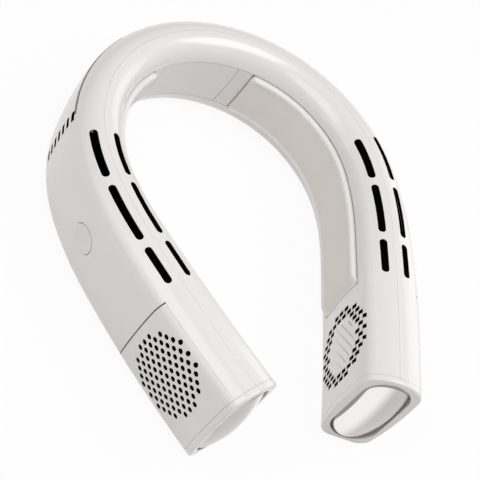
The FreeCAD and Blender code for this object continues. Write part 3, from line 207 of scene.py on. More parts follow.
@dataclass(frozen=True)
class Moulded:
    """Moulded plastic, rubber or coated metal with a fine skin.

    Attributes:
        name: the finish's name.
        light: lightest colour.
        dark: colour of the faint cloudy variation.
        rough: mean roughness.
        rough_spread: how far the roughness varies.
        grain: size of the skin's grain, in grains per metre.
        grain_depth: depth of the grain in metres.
        coat: clear coat weight.
        metallic: metal share.
        specular: specular level.
        cloud_scale: scale of the colour's clouds, per metre.
        patch_scale: scale of the roughness's patches, per metre.
        grain_detail: octaves of the grain.
        grain_strength: share of the grain's depth that shows.
        coat_rough: roughness of the clear coat.
    """

    name: str
    light: tuple
    dark: tuple
    rough: float
    rough_spread: float = 0.05
    grain: float = 2600.0
    grain_depth: float = 0.00002
    coat: float = 0.0
    metallic: float = 0.0
    specular: float = 0.5
    cloud_scale: float = 38.0
    patch_scale: float = 160.0
    grain_detail: float = 2.0
    grain_strength: float = 0.25
    coat_rough: float = 0.08

    def material(self) -> bpy.types.Material:
        """Build the material."""
        graph = Graph(self.name)
        grain = graph.noise(self.grain, self.grain_detail)
        patches = graph.noise(self.patch_scale)
        shader = graph.node("ShaderNodeBsdfPrincipled", None, {
            "Base Color": self.colour(graph),
            "Roughness": patches * self.rough_spread + (self.rough - self.rough_spread / 2),
            "Normal": graph.bump(grain, self.grain_strength, self.grain_depth),
            "Metallic": self.metallic,
            "Coat Weight": self.coat,
            "Coat Roughness": self.coat_rough,
            "Specular IOR Level": self.specular,
        })
        return graph.close(shader)

    def colour(self, graph: Graph) -> Socket:
        """Base colour with its faint clouds."""
        return graph.blend(graph.noise(self.cloud_scale), self.dark, self.light)


@dataclass(frozen=True)
class Pearl(Moulded):
    """Silver pearl of the end inserts, with painted light in its colour: a painted reflection, bright towards
    the neck and grey outside, and a fine dark edge line that is a painted shadow.

    Attributes:
        shade: colour of the outer half, painted shade in place of a darker reflection.
        line: colour of the edge line, a painted shadow of the lip.
        painted_shade_start: distance out from the middle where the painted shade starts.
        painted_shade_end: distance out from the middle where it is full.
        straight: half the straight length of the capsule outline.
        spine_out: distance of the edge line's spine from the middle, out.
        spine_drop: distance of the edge line's spine below the middle.
        shadow_line_start: distance from the spine where the painted shadow line starts.
        shadow_line_end: distance where it is full.
    """

    # Painted light: the grey of the outer half stands in for a darker reflection, the dark edge line for the
    # lip's shadow.
    shade: tuple = (0.56, 0.53, 0.52)
    line: tuple = (0.3, 0.285, 0.28)
    painted_shade_start: float = -0.0045
    painted_shade_end: float = 0.0022
    straight: float = 0.0142
    spine_out: float = 0.0004
    spine_drop: float = 0.0004
    shadow_line_start: float = 0.0107
    shadow_line_end: float = 0.0111

    def colour(self, graph: Graph) -> Socket:
        """Base colour across and round the insert, with its painted reflection and painted shadow line."""
        across, ahead, turn = BAND_SHAPE.walk(BAND_SHAPE.half_length)
        x, y, z = graph.split()
        out = (x.size() - across) * math.sin(turn) + (y - (BAND_SHAPE.back() - ahead)) * math.cos(turn)
        over = ((z - (BAND_SHAPE.front_height / 2 - self.spine_drop)).size() - self.straight).most(0.0)
        aside = out - self.spine_out
        reach = (aside * aside + over * over).root()
        # Painted reflection: bright towards the neck, grey on the outer half.
        painted_shade_share = graph.ramp(out, self.painted_shade_start, self.painted_shade_end)
        face = graph.blend(painted_shade_share, super().colour(graph), self.shade)
        # Painted shadow: a dark line along the insert's outline.
        return graph.blend(graph.ramp(reach, self.shadow_line_start, self.shadow_line_end), face, self.line)


@dataclass(frozen=True)
class Finishes:
    """All finishes of the fan."""

    shell: Moulded = Moulded("shell_gloss_white", (0.83, 0.8, 0.79), (0.81, 0.779, 0.768), 0.24, 0.06, 1500.0,
                             0.00001, coat=0.35)
    button: Moulded = Moulded("button_gloss_white", (0.82, 0.79, 0.78), (0.8, 0.769, 0.758), 0.3, coat=0.2)
    # End inserts: metallic pearl whose colour holds a painted reflection and a painted shadow line.
    pearl: Pearl = Pearl("insert_pearl", (0.97, 0.95, 0.94), (0.94, 0.92, 0.91), 0.24, 0.06, 4200.0, 0.00001,
                         coat=0.2, metallic=0.85)
    # Painted shade along the rear cover's top seam.
    bead: Moulded = Moulded("bead_grey", (0.24, 0.235, 0.228), (0.21, 0.205, 0.199), 0.6, specular=0.3)
    plate: Moulded = Moulded("plate_satin", (0.81, 0.782, 0.766), (0.785, 0.757, 0.741), 0.42)
    link: Moulded = Moulded("link_satin", (0.8, 0.772, 0.756), (0.775, 0.747, 0.731), 0.4)
    pad_face: Moulded = Moulded("pad_soft_grey", (0.8, 0.757, 0.72), (0.77, 0.727, 0.69), 0.62, 0.1, 3200.0,
                                0.00008)
    pad_rim: Moulded = Moulded("pad_rim_white", (0.85, 0.825, 0.81), (0.82, 0.795, 0.78), 0.45, 0.08, 3200.0,
                               0.00004)
    # Black of the duct floor, fan scroll, motor base and cell saddle, also the black of the painted shade in
    # the openings and the duct lining.
    duct: Moulded = Moulded("duct_black", (0.002, 0.002, 0.002), (0.001, 0.001, 0.001), 0.8, specular=0.0)
    impeller: Moulded = Moulded("impeller_dark", (0.03, 0.03, 0.032), (0.02, 0.02, 0.022), 0.45)
    steel: Moulded = Moulded("plain_steel", (0.56, 0.56, 0.57), (0.48, 0.48, 0.49), 0.32, 0.1, metallic=1.0)
    magnet: Moulded = Moulded("magnet_grey", (0.14, 0.14, 0.145), (0.1, 0.1, 0.105), 0.55)
    bronze: Moulded = Moulded("sintered_bronze", (0.48, 0.34, 0.19), (0.38, 0.26, 0.14), 0.5, metallic=1.0)
    copper: Moulded = Moulded("enamelled_copper", (0.62, 0.28, 0.11), (0.5, 0.2, 0.07), 0.35, metallic=1.0)
    wrap: Moulded = Moulded("cell_wrap_blue", (0.06, 0.16, 0.34), (0.05, 0.13, 0.29), 0.3, coat=0.3)
    board: Moulded = Moulded("board_green", (0.02, 0.13, 0.06), (0.015, 0.1, 0.045), 0.4, coat=0.3)
    black: Moulded = Moulded("switch_black", (0.02, 0.02, 0.02), (0.013, 0.013, 0.013), 0.5)


def smooth(share: float) -> float:
    """Ease from 0 to 1 as a share goes from 0 to 1, level beyond."""
    share = min(max(share, 0.0), 1.0)
    return share * share * (3 - 2 * share)


@dataclass(frozen=True)
class Section:
    """Cross-section of the band at one place: circle centres as (out, height), in metres.

    Attributes:
        height: height of the crown.
        top_radius: radius of the crown, which is centred on the middle line.
        corner: centre of the top corner.
        corner_radius: radius of the top corner.
        side: centre of the side arc.
        side_radius: radius of the side arc.
        base: centre of the base corner.
        base_radius: radius of the base corner.
    """

    height: float
    top_radius: float
    corner: Vector
    corner_radius: float
    side: Vector
    side_radius: float
    base: Vector
    base_radius: float

    def side_out(self, height: float, inset: float = 0.0) -> float:
        """Distance of the wall from the middle line at a height, corners included.

        Args:
            height: height over the base.
            inset: depth under the outer face.

        Returns:
            The distance in metres.
        """
        for centre, radius, beyond in ((self.corner, self.corner_radius, 1),
                                       (self.base, self.base_radius, -1)):
            if beyond * (height - self.join(centre, inset)) > 0:
                return centre.x + math.sqrt(max((radius - inset) ** 2 - (height - centre.y) ** 2, 0.0))
        return self.side.x + math.sqrt((self.side_radius - inset) ** 2 - (height - self.side.y) ** 2)

    def join(self, centre: Vector, inset: float) -> float:
        """Height where the side arc meets a corner."""
        line = centre - self.side
        return self.side.y + line.y / line.length * (self.side_radius - inset)

    def top_height(self, out: float, inset: float = 0.0) -> float:
        """Height of the top at a distance from the middle line, corner included.

        Args:
            out: distance from the middle line, on either side.
            inset: depth under the outer face.

        Returns:
            The height in metres.
        """
        middle = self.height - self.top_radius
        line = self.corner - Vector((0.0, middle))
        if abs(out) <= line.x / line.length * (self.top_radius - inset):
            return middle + math.sqrt((self.top_radius - inset) ** 2 - out**2)
        bend = self.corner_radius - inset
        return self.corner.y + math.sqrt(max(bend**2 - (abs(out) - self.corner.x) ** 2, 0.0))


@dataclass(frozen=True)
class Band:
    """The middle line and cross-section of the band, in metres."""

    back_radius: float = 0.078
    back_angle: float = math.radians(94.0)
    shoulder_radius: float = 0.165
    shoulder_angle: float = math.radians(12.5)
    arm_radius: float = 0.9
    half_length: float = 0.2596
    front_height: float = 0.0585
    back_height: float = 0.0525
    front_half_width: float = 0.0167
    back_half_width: float = 0.0116
    base_inset: float = 0.0023
    widen_start: float = 0.04
    widen_end: float = 0.22
    top_corner: float = 0.009
    base_corner: float = 0.008
    top_crown: float = 0.002
    side_radius: float = 0.18
    wall: float = 0.0022
    fan_place: float = 0.2264
    fan_height: float = 0.0293

    def walk(self, place: float) -> tuple[float, float, float]:
        """Plan offsets from the back centre and turn at a distance along the middle line."""
        left = abs(place)
        across = ahead = turn = 0.0
        for radius, angle in ((self.back_radius, self.back_angle),
                              (self.shoulder_radius, self.shoulder_angle),
                              (self.arm_radius, math.pi)):
            step = min(left / radius, angle)
            across += radius * (math.sin(turn + step) - math.sin(turn))
            ahead += radius * (math.cos(turn) - math.cos(turn + step))
            turn += step
            left -= step * radius
        return across, ahead, turn

    def section(self, place: float) -> Section:
        """Cross-section at a place."""
        rise = smooth((abs(place) - self.widen_start) / (self.widen_end - self.widen_start))
        half_top = self.back_half_width + (self.front_half_width - self.back_half_width) * rise
        share = self.walk(place)[1] / self.walk(self.half_length)[1]
        height = self.back_height + (self.front_height - self.back_height) * share
        corner = Vector((half_top - self.top_corner, height - self.top_corner - self.top_crown))
        base = Vector((half_top - self.base_inset - self.base_corner, self.base_corner))
        line = corner - base
        to_base = self.side_radius - self.base_corner
        to_corner = self.side_radius - self.top_corner
        along = (line.length_squared + to_base**2 - to_corner**2) / (2 * line.length)
        off = math.sqrt(to_base**2 - along**2)
        line.normalize()
        side = base + line * along + Vector((-line.y, line.x)) * off
        drop = self.top_corner + self.top_crown
        top_radius = (corner.x**2 + drop**2 - self.top_corner**2) / (2 * self.top_crown)
        return Section(height, top_radius, corner, self.top_corner, side, self.side_radius,
                       base, self.base_corner)

    def back(self) -> float:
        """Y of the middle line at the back centre; the footprint is centred on the origin."""
        ahead, turn = self.walk(self.half_length)[1:]
        front_reach = self.section(self.half_length)
        back_reach = self.section(0.0)
        front = ahead - (front_reach.side.x + self.side_radius) * math.cos(turn)
        return (front - back_reach.side.x - self.side_radius) / 2

    def point(self, place: float, out: float, height: float) -> Vector:
        """Space point at a place, a distance from the middle line and a height."""
        across, ahead, turn = self.walk(place)
        side = -1 if place < 0 else 1
        aside = side * (across + out * math.sin(turn))
        return Vector((aside, self.back() - ahead + out * math.cos(turn), height))


BAND_SHAPE = Band()


class Piece:
    """Helpers that turn a bmesh into an object of the fan."""

    @staticmethod
    def finish(mesh: bmesh.types.BMesh, name: str, finishes: list[Moulded], slot: str,
               replaced: tuple[str, ...] = ()) -> bpy.types.Object:
        """Make a bmesh an object that rides on the band.

        Args:
            mesh: the built mesh, freed here.
            name: the piece's name.
            finishes: one finish per material index.
            slot: name of a material slot; not used.
            replaced: CAD nodes that the piece stands for.

        Returns:
            The new object.
        """
        bmesh.ops.remove_doubles(mesh, verts=mesh.verts, dist=MERGE_DISTANCE)
        bmesh.ops.recalc_face_normals(mesh, faces=mesh.faces)
        for face in mesh.faces:
            face.smooth = True
        data = bpy.data.meshes.new(name)
        mesh.to_mesh(data)
        mesh.free()
        piece = bpy.data.objects.new(name, data)
        bpy.context.scene.collection.objects.link(piece)
        for finish in finishes:
            data.materials.append(finish.material())
        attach(piece, BAND)
        if replaced:
            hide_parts(*replaced)
        LOG.info("%s: %d faces", name, len(data.polygons))
        return piece

    @staticmethod
    def strip(columns: int, rows: int, shape: Shape) -> bmesh.types.BMesh:
        """Grid whose points are moved to a shape.

        Args:
            columns: steps along the first direction.
            rows: steps along the second direction.
            shape: space point of a grid point, both coordinates from -1 to 1.

        Returns:
            The shaped grid.
        """
        mesh = bmesh.new()
        bmesh.ops.create_grid(mesh, x_segments=columns, y_segments=rows, size=1.0)
        for vertex in mesh.verts:
            vertex.co = shape(vertex.co.x, vertex.co.y)
        return mesh

    @staticmethod
    def thickened(mesh: bmesh.types.BMesh, thick: float) -> bmesh.types.BMesh:
        """Close a sheet's seams and give it a thickness.

        Args:
            mesh: the shaped sheet.
            thick: its thickness in metres.

        Returns:
            The same mesh.
        """
        bmesh.ops.remove_doubles(mesh, verts=mesh.verts, dist=MERGE_DISTANCE)
        bmesh.ops.recalc_face_normals(mesh, faces=mesh.faces)
        bmesh.ops.solidify(mesh, geom=mesh.faces, thickness=thick / 2)
        return mesh

    @staticmethod
    def joined(sheets: list[bmesh.types.BMesh]) -> bmesh.types.BMesh:
        """One mesh of several.

        Args:
            sheets: the meshes, freed here.

        Returns:
            The joined mesh.
        """
        whole = bmesh.new()
        for sheet in sheets:
            data = bpy.data.meshes.new("sheet")
            sheet.to_mesh(data)
            sheet.free()
            whole.from_mesh(data)
            bpy.data.meshes.remove(data)
        return whole


@dataclass(frozen=True)
class PadSpot:
    """One point of a pad's outline plane.

    Attributes:
        place: place along the band.
        height: height over the base.
        side: distance from the upper or lower edge.
        half: half the pad's height there.
        front: distance from the front end.
        rear: distance from the rear end.
    """

    place: float
    height: float
    side: float
    half: float
    front: float
    rear: float


@dataclass
class NeckPad:
    """Soft pad on the neck side of one arm: white rims along its long edges and a crowned grey face."""

    arm: Arm
    start: float = 0.0356
    end: float = 0.198
    low: float = 0.0103
    top_drop: float = 0.0113
    corner: float = 0.0028
    edge: float = 0.002
    rim_height: float = 0.0033
    rim_width: float = 0.003
    rim_fade: float = 0.003
    face_height: float = 0.0025
    crown: float = 0.0034
    front_edge: float = 0.0007
    front_taper: float = 0.006
    rear_round: float = 0.001
    seat: float = 0.0009
    columns: int = 150
    rows: int = 56
    close_share: float = 0.3
    rim_share: float = 0.92
    gather_share: float = 2.2
    gather_power: float = 1.5
    fill: float = 0.8

    def spread(self, value: float, half: float) -> float:
        """Grid coordinate gathered towards the rim.

        Args:
            value: even coordinate from -1 to 1.
            half: half the length of that direction in metres.

        Returns:
            The coordinate in metres.
        """
        band = self.gather_share * self.rim_width
        inner = 1.0 - self.close_share
        size = min(abs(value), 1.0)
        if size <= inner:
            reach = size / inner * (half - band)
        else:
            reach = half - band + (1.0 - ((1.0 - size) / self.close_share) ** self.gather_power) * band
        return math.copysign(reach, value)

    def locate(self, along: float, up: float) -> PadSpot:
        """Where a grid point lies on the wall.

        Args:
            along: grid coordinate along the arm, from -1 to 1.
            up: grid coordinate upward, from -1 to 1.

        Returns:
            The spot within the pad's outline, whose corners are rounded.
        """
        half_length = (self.end - self.start) / 2
        middle = (self.start + self.end) / 2
        reach = self.spread(along, half_length)
        high = BAND_SHAPE.section(middle + reach).height - self.top_drop
        full = (high - self.low) / 2
        ahead = max(abs(reach) - (half_length - self.corner), 0.0)
        half = full - self.corner + math.sqrt(max(self.corner**2 - ahead**2, 0.0))
        lift = self.spread(up, full) * half / full
        return PadSpot(middle + reach, (high + self.low) / 2 + lift, max(half - abs(lift), 0.0), half,
                       max(half_length - reach, 0.0), max(half_length + reach, 0.0))

    def rise(self, spot: PadSpot) -> float:
        """Height of the pad's face over the wall."""
        half_rim = self.rim_width / 2
        extra = (self.rim_height - self.face_height) * self.rim_part(spot)
        if spot.side < half_rim:
            share = spot.side / half_rim
            height = self.edge + (self.face_height + extra - self.edge) * math.sqrt(1 - (1 - share) ** 2)
        elif spot.side < self.rim_width:
            height = self.face_height + extra * (1 - smooth((spot.side - half_rim) / half_rim))
        else:
            share = min((spot.side - self.rim_width) / (spot.half - self.rim_width), 1.0)
            height = self.face_height + (self.crown - self.face_height) * math.sin(share * math.pi / 2)
        height = self.front_edge + (height - self.front_edge) * smooth(spot.front / self.front_taper)
        back = 1 - min(spot.rear / self.rear_round, 1.0)
        return self.edge + (height - self.edge) * math.sqrt(1 - back**2) if back else height

    def rim_part(self, spot: PadSpot) -> float:
        """How much of the rim is left near the pad's ends, from 0 to 1."""
        return smooth(spot.front / self.rim_fade) * smooth(spot.rear / self.rim_fade)

    def sheet(self, lifted: bool) -> bmesh.types.BMesh:
        """Grid of the pad's face, or of its back in the seat.

        Args:
            lifted: whether it is the face.

        Returns:
            The shaped grid, its rim faces marked.
        """
        mesh = bmesh.new()
        bmesh.ops.create_grid(mesh, x_segments=self.columns, y_segments=self.rows, size=1.0)
        for face in mesh.faces:
            centre = face.calc_center_median()
            face.material_index = int(self.locate(centre.x, centre.y).side < self.rim_width * self.rim_share)
        for vertex in mesh.verts:
            spot = self.locate(vertex.co.x, vertex.co.y)
            lift = self.rise(spot) if lifted else -self.seat
            out = -BAND_SHAPE.section(spot.place).side_out(spot.height, -lift)
            vertex.co = BAND_SHAPE.point(self.arm.value * spot.place, out, spot.height)
        return mesh

    def build(self, finishes: Finishes) -> bpy.types.Object:
        """Build and dress the pad."""
        mesh = Piece.joined([self.sheet(True), self.sheet(False)])
        sides = bmesh.ops.bridge_loops(mesh, edges=[edge for edge in mesh.edges if edge.is_boundary])
        for face in sides["faces"]:
            face.material_index = 1
        piece = Piece.finish(mesh, f"{self.arm.word}_pad", [finishes.pad_face, finishes.pad_rim], "pad_soft",
                             (f"{self.arm.word}_neck_pad",))
        return piece


@dataclass
class DuctShadeLiner:
    """Black lining on the walls of an arm's duct, seen through the outlet slots: painted shade inside the
    duct.
    """

    arm: Arm
    start: float = 0.1
    end: float = 0.2
    low: float = 0.0384
    top_out: float = 0.0086
    gap: float = 0.0003
    thick: float = 0.0005
    least_share: float = 0.2
    columns: int = 40
    rows: int = 12

    def build(self, finishes: Finishes) -> bpy.types.Object:
        """Build both linings of the arm as one piece."""
        walls = []
        for sign in (-1, 1):
            wall = Piece.strip(self.columns, self.rows, lambda along, up: self.point(along, up, sign))
            bmesh.ops.solidify(wall, geom=wall.faces, thickness=self.thick / 2)
            walls.append(wall)
        # The lining is painted shade: it darkens the duct's walls seen through the slots.
        name = f"{self.arm.word}_duct_lining"
        return Piece.finish(Piece.joined(walls), name, [finishes.duct], "duct_black")

    def point(self, along: float, up: float, sign: int) -> Vector:
        """Space point of the lining on one side of the middle line."""
        place = self.start + (self.end - self.start) * (along + 1) / 2
        section = BAND_SHAPE.section(place)
        inset = BAND_SHAPE.wall + self.gap + self.thick
        bend = section.corner_radius - inset
        reach = min(max(self.top_out - section.corner.x, self.least_share * bend), bend)
        high = section.corner.y + math.sqrt(max(bend**2 - reach**2, 0.0))
        height = self.low + (high - self.low) * (up + 1) / 2
        return BAND_SHAPE.point(self.arm.value * place, sign * section.side_out(height, inset), height)


@dataclass
class DustScreens:
    """Black dust screens behind the grille, the intake ring and the side vents of one arm."""

    arm: Arm
    vent_start: float = 0.0935
    vent_end: float = 0.1012
    vent_low: float = 0.0082
    vent_high: float = 0.0445
    grille_radius: float = 0.0232
    grille_middle: float = 0.0004
    ring_inner: float = 0.0139
    gap: float = 0.0003
    thick: float = 0.0004
    vent_steps: tuple[int, int] = (16, 30)
    grille_steps: tuple[int, int] = (72, 12)
    ring_steps: tuple[int, int] = (72, 8)

    def build(self, finishes: Finishes) -> None:
        """Build the three screens."""
        for name, steps, shape in (("vent", self.vent_steps, self.vent_point),
                                   ("grille", self.grille_steps, self.grille_point),
                                   ("ring", self.ring_steps, self.ring_point)):
            mesh = Piece.thickened(Piece.strip(*steps, shape), self.thick)
            Piece.finish(mesh, f"{self.arm.word}_{name}_screen", [finishes.duct], "duct_black")

    def wall_point(self, place: float, height: float, sign: int) -> Vector:
        """Point behind the wall, on the outer side for +1 and on the neck side for -1."""
        out = BAND_SHAPE.section(place).side_out(height, BAND_SHAPE.wall + self.gap + self.thick)
        return BAND_SHAPE.point(self.arm.value * place, sign * out, height)

    def vent_point(self, along: float, up: float) -> Vector:
        """Point of the vent screen."""
        place = self.vent_start + (self.vent_end - self.vent_start) * (along + 1) / 2
        return self.wall_point(place, self.vent_low + (self.vent_high - self.vent_low) * (up + 1) / 2, 1)

    def round_point(self, turn: float, radius: float, sign: int) -> Vector:
        """Point of a round screen about the fan axis."""
        angle = turn * math.pi
        height = BAND_SHAPE.fan_height + radius * math.sin(angle)
        return self.wall_point(BAND_SHAPE.fan_place + radius * math.cos(angle), height, sign)

    def grille_point(self, turn: float, reach: float) -> Vector:
        """Point of the grille screen."""
        radius = self.grille_middle + (self.grille_radius - self.grille_middle) * (reach + 1) / 2
        return self.round_point(turn, radius, 1)

    def ring_point(self, turn: float, reach: float) -> Vector:
        """Point of the ring screen."""
        radius = self.ring_inner + (self.grille_radius - self.ring_inner) * (reach + 1) / 2
        return self.round_point(turn, radius, -1)


@dataclass
class HoleShadeSleeves:
    """Black sleeves on the walls of the outlet slots, grille holes and ring slots of one arm, and black plugs
    in its vents: painted shade in the openings.
    """

    arm: Arm
    slot_start: float = 0.1083
    slot_lengths: tuple = (0.0258, 0.0305, 0.0204)
    slot_bridge: float = 0.0045
    slot_width: float = 0.0039
    slot_out: float = 0.0061
    pitch: float = 0.00526
    column: float = 0.0032
    half_length: float = 0.0214
    half_height: float = 0.023
    hole_radius: float = 0.001425
    ring_inside: float = 0.0147
    ring_width: float = 0.00245
    ring_length: float = 0.0042
    vent_start: float = 0.0952
    vent_end: float = 0.1004
    vent_middle: float = 0.0272
    vent_pitch: float = 0.0056
    vent_count: int = 7
    vent_width: float = 0.003
    # Painted shade: the black starts this far under the outer face, in the holes and in the vents.
    recess: float = 0.00022
    plug_recess: float = 0.00003
    gap: float = 0.00003
    thick: float = 0.0001
    slot_corners: int = 64
    hole_corners: int = 14
    box_corners: int = 4

    def build(self, finishes: Finishes) -> None:
        """Build the sleeves of each kind as one piece."""
        for name, fill in (("slot_shade_sleeves", self.slots), ("grille_shade_sleeves", self.grille),
                           ("ring_shade_sleeves", self.ring), ("vent_shade_plugs", self.vents)):
            mesh = bmesh.new()
            fill(mesh)
            # Each piece is black painted shade in its openings.
            Piece.finish(mesh, f"{self.arm.word}_{name}", [finishes.duct], "duct_black")

    def sleeve(self, mesh: bmesh.types.BMesh, corners: int, outline: Outline, place: Placing,
               filled: bool = False) -> None:
        """Add one closed thin-walled sleeve, or a plug.

        Args:
            mesh: the mesh it goes into.
            corners: points round the sleeve.
            outline: point of the opening's outline at a turn from 0 to 1, drawn in by a gap.
            place: space point of an outline point at a depth under the outer face.
            filled: whether it is a plug.
        """
        outer, inner = self.gap, self.gap + self.thick
        low = BAND_SHAPE.wall
        steps = [(outer, self.recess), (outer, low), (inner, low), (inner, self.recess)]
        if filled:
            steps = [(outer, self.plug_recess), (outer, low)]
        rings = []
        for inset, depth in steps:
            ring = bmesh.ops.create_circle(mesh, cap_ends=filled, segments=corners, radius=1.0)["verts"]
            for vertex in ring:
                turn = math.atan2(vertex.co.y, vertex.co.x) / (2 * math.pi) % 1.0
                vertex.co = place(*outline(turn, inset), depth)
            rings.append(list({edge for vertex in ring for edge in vertex.link_edges}))
        last = rings[1:] if filled else rings[1:] + rings[:1]
        for first, second in zip(rings, last):
            bmesh.ops.bridge_loops(mesh, edges=first + second)

    @staticmethod
    def box(length: float, width: float) -> Outline:
        """Outline of a rectangle about its middle, for four corners."""
        def outline(turn: float, inset: float) -> tuple[float, float]:
            """Corner of the rectangle nearest to a turn."""
            quarter = round(turn * 4) % 4
            across = length / 2 - inset if quarter in (0, 3) else inset - length / 2
            up = width / 2 - inset if quarter in (0, 1) else inset - width / 2
            return across, up
        return outline

    @staticmethod
    def circle(radius: float) -> Outline:
        """Outline of a round hole about its middle."""
        def outline(turn: float, inset: float) -> tuple[float, float]:
            """Point of the circle at a turn."""
            angle = turn * 2 * math.pi
            return (radius - inset) * math.cos(angle), (radius - inset) * math.sin(angle)
        return outline

    @staticmethod
    def capsule(length: float, width: float) -> Outline:
        """Outline of a slot about its middle: straight sides and round ends."""
        reach = (length - width) / 2

        def outline(turn: float, inset: float) -> tuple[float, float]:
            """Point of the capsule at a turn."""
            bend = width / 2 - inset
            side = 1 if turn < 0.5 else -1
            share = turn * 4 % 2
            if 0.5 <= share <= 1.5:
                return side * reach * (1.0 - 2 * (share - 0.5)), side * bend
            angle = side * share * math.pi if share < 0.5 else side * (share - 1.0) * math.pi
            tip = side if share < 0.5 else -side
            return tip * (reach + bend * abs(math.cos(angle))), bend * math.sin(angle)
        return outline

    def slots(self, mesh: bmesh.types.BMesh) -> None:
        """Sleeves of the outlet slots."""
        start = self.slot_start
        for length in self.slot_lengths:
            outline = self.capsule(length, self.slot_width)
            for sign in (-1, 1):
                self.sleeve(mesh, self.slot_corners, outline, self.under_top(start + length / 2, sign))
            start += length + self.slot_bridge

    def under_top(self, middle: float, sign: int) -> Placing:
        """How a slot's outline lies under the top of the band.

        Args:
            middle: place of the slot's middle.
            sign: +1 for the outer row and -1 for the neck side.

        Returns:
            The function that gives a space point.
        """
        def place(along: float, across: float, depth: float) -> Vector:
            """Space point under the top."""
            spot = middle + along
            out = self.slot_out + across
            height = BAND_SHAPE.section(spot).top_height(out) - depth
            return BAND_SHAPE.point(self.arm.value * spot, sign * out, height)
        return place

    def lattice(self) -> list[tuple[float, float]]:
        """Places of the grille holes about the fan axis, as (forward, up)."""
        columns = math.floor(self.half_length / self.column)
        rows = math.ceil(self.half_height / self.pitch)
        places = []
        for index in range(-columns, columns + 1):
            for row in range(-rows, rows + 1):
                forward = index * self.column
                up = row * self.pitch + self.pitch / 2 * (index % 2)
                if (forward / self.half_length) ** 2 + (up / self.half_height) ** 2 <= 1:
                    places.append((forward, up))
        return places

    def wall_spot(self, forward: float, up: float, depth: float, sign: int) -> Vector:
        """Space point under the wall, beside the fan axis in its own straight frame."""
        turn = BAND_SHAPE.walk(BAND_SHAPE.fan_place)[2]
        height = BAND_SHAPE.fan_height + up
        bow = forward**2 / (2 * BAND_SHAPE.arm_radius)
        face = BAND_SHAPE.section(BAND_SHAPE.fan_place + forward).side_out(height)
        out = sign * (face - depth) - bow
        spot = BAND_SHAPE.point(self.arm.value * BAND_SHAPE.fan_place, out, height)
        return spot + Vector((self.arm.value * math.cos(turn), -math.sin(turn), 0.0)) * forward

    def lean(self, up: float) -> float:
        """Cosine of the wall's lean at a height over the fan axis, as the CAD sizes the holes by it."""
        section = BAND_SHAPE.section(BAND_SHAPE.fan_place)
        over = max(BAND_SHAPE.fan_height + up - section.corner.y, 0.0) / section.corner_radius
        return math.sqrt(1 - over**2)

    def on_wall(self, forward: float, up: float, sign: int) -> Placing:
        """How a hole's outline lies under the wall beside the fan.

        Args:
            forward: distance of the hole's middle ahead of the fan axis.
            up: its height over the axis.
            sign: +1 for the outer wall and -1 for the neck side.

        Returns:
            The function that gives a space point.
        """
        return lambda along, rise, depth: self.wall_spot(forward + along, up + rise, depth, sign)

    def grille(self, mesh: bmesh.types.BMesh) -> None:
        """Sleeves of the round grille holes."""
        for forward, up in self.lattice():
            outline = self.circle(self.hole_radius * self.lean(up))
            self.sleeve(mesh, self.hole_corners, outline, self.on_wall(forward, up, 1))

    def ring(self, mesh: bmesh.types.BMesh) -> None:
        """Sleeves of the ring's slots."""
        for forward, up in self.lattice():
            if math.hypot(forward, up) > self.ring_inside:
                length = self.ring_length * self.lean(up + self.ring_length / 2) ** 2
                outline = self.box(self.ring_width, length)
                self.sleeve(mesh, self.box_corners, outline, self.on_wall(forward, up, -1))

    def vents(self, mesh: bmesh.types.BMesh) -> None:
        """Black plugs just under the side vents' faces: painted shade in the vents."""
        outline = self.box(self.vent_end - self.vent_start, self.vent_width)
        for index in range(self.vent_count):
            level = self.vent_middle + (index - (self.vent_count - 1) / 2) * self.vent_pitch
            self.sleeve(mesh, self.box_corners, outline, self.in_vent(level), True)

    def in_vent(self, level: float) -> Placing:
        """How a vent's outline lies under the outer wall, at a level over the base."""
        middle = (self.vent_start + self.vent_end) / 2

        def place(along: float, rise: float, depth: float) -> Vector:
            """Space point of a vent's plug."""
            spot = middle + along
            height = level + rise
            out = BAND_SHAPE.section(spot).side_out(height) - depth
            return BAND_SHAPE.point(self.arm.value * spot, out, height)
        return place


@dataclass
class CoverBead:
    """Dark grey strip along the top edge of the rear cover, on one side, thinning out towards the back:
    painted shade of the cover's top seam.
    """

    arm: Arm
    start: float = 0.042
    end: float = 0.0975
    fade: float = 0.03
    top_drop: float = 0.0078
    half_width: float = 0.00055
    end_share: float = 0.2
    proud: float = 0.00012
    thick: float = 0.0004
    columns: int = 90
    rows: int = 2

    def build(self, finishes: Finishes) -> bpy.types.Object:
        """Build and dress the painted shade strip."""
        mesh = Piece.thickened(Piece.strip(self.columns, self.rows, self.point), self.thick)
        return Piece.finish(mesh, f"{self.arm.word}_cover_bead", [finishes.bead], "duct_black")

    def point(self, along: float, up: float) -> Vector:
        """Space point of the strip's face."""
        place = self.start + (self.end - self.start) * (along + 1) / 2
        width = self.end_share + (1 - self.end_share) * smooth((place - self.start) / self.fade)
        section = BAND_SHAPE.section(place)
        height = section.height - self.top_drop + up * self.half_width * width
        return BAND_SHAPE.point(self.arm.value * place, section.side_out(height, -self.proud), height)


@dataclass
class CrownFiller:
    """Filler that hides the parting line of the two shells along the crown."""

    reach: float = 0.2555
    half_width: float = 0.0004
    proud: float = 0.00002
    thick: float = 0.0001
    columns: int = 700
    rows: int = 2

    def build(self, finishes: Finishes) -> bpy.types.Object:
        """Build and dress the filler."""
        mesh = Piece.thickened(Piece.strip(self.columns, self.rows, self.point), self.thick)
        return Piece.finish(mesh, "crown_filler", [finishes.shell], "shell_white")

    def point(self, along: float, across: float) -> Vector:
        """Space point of the filler's face."""
        place = along * self.reach
        out = across * self.half_width
        return BAND_SHAPE.point(place, out, BAND_SHAPE.section(place).top_height(out, -self.proud))


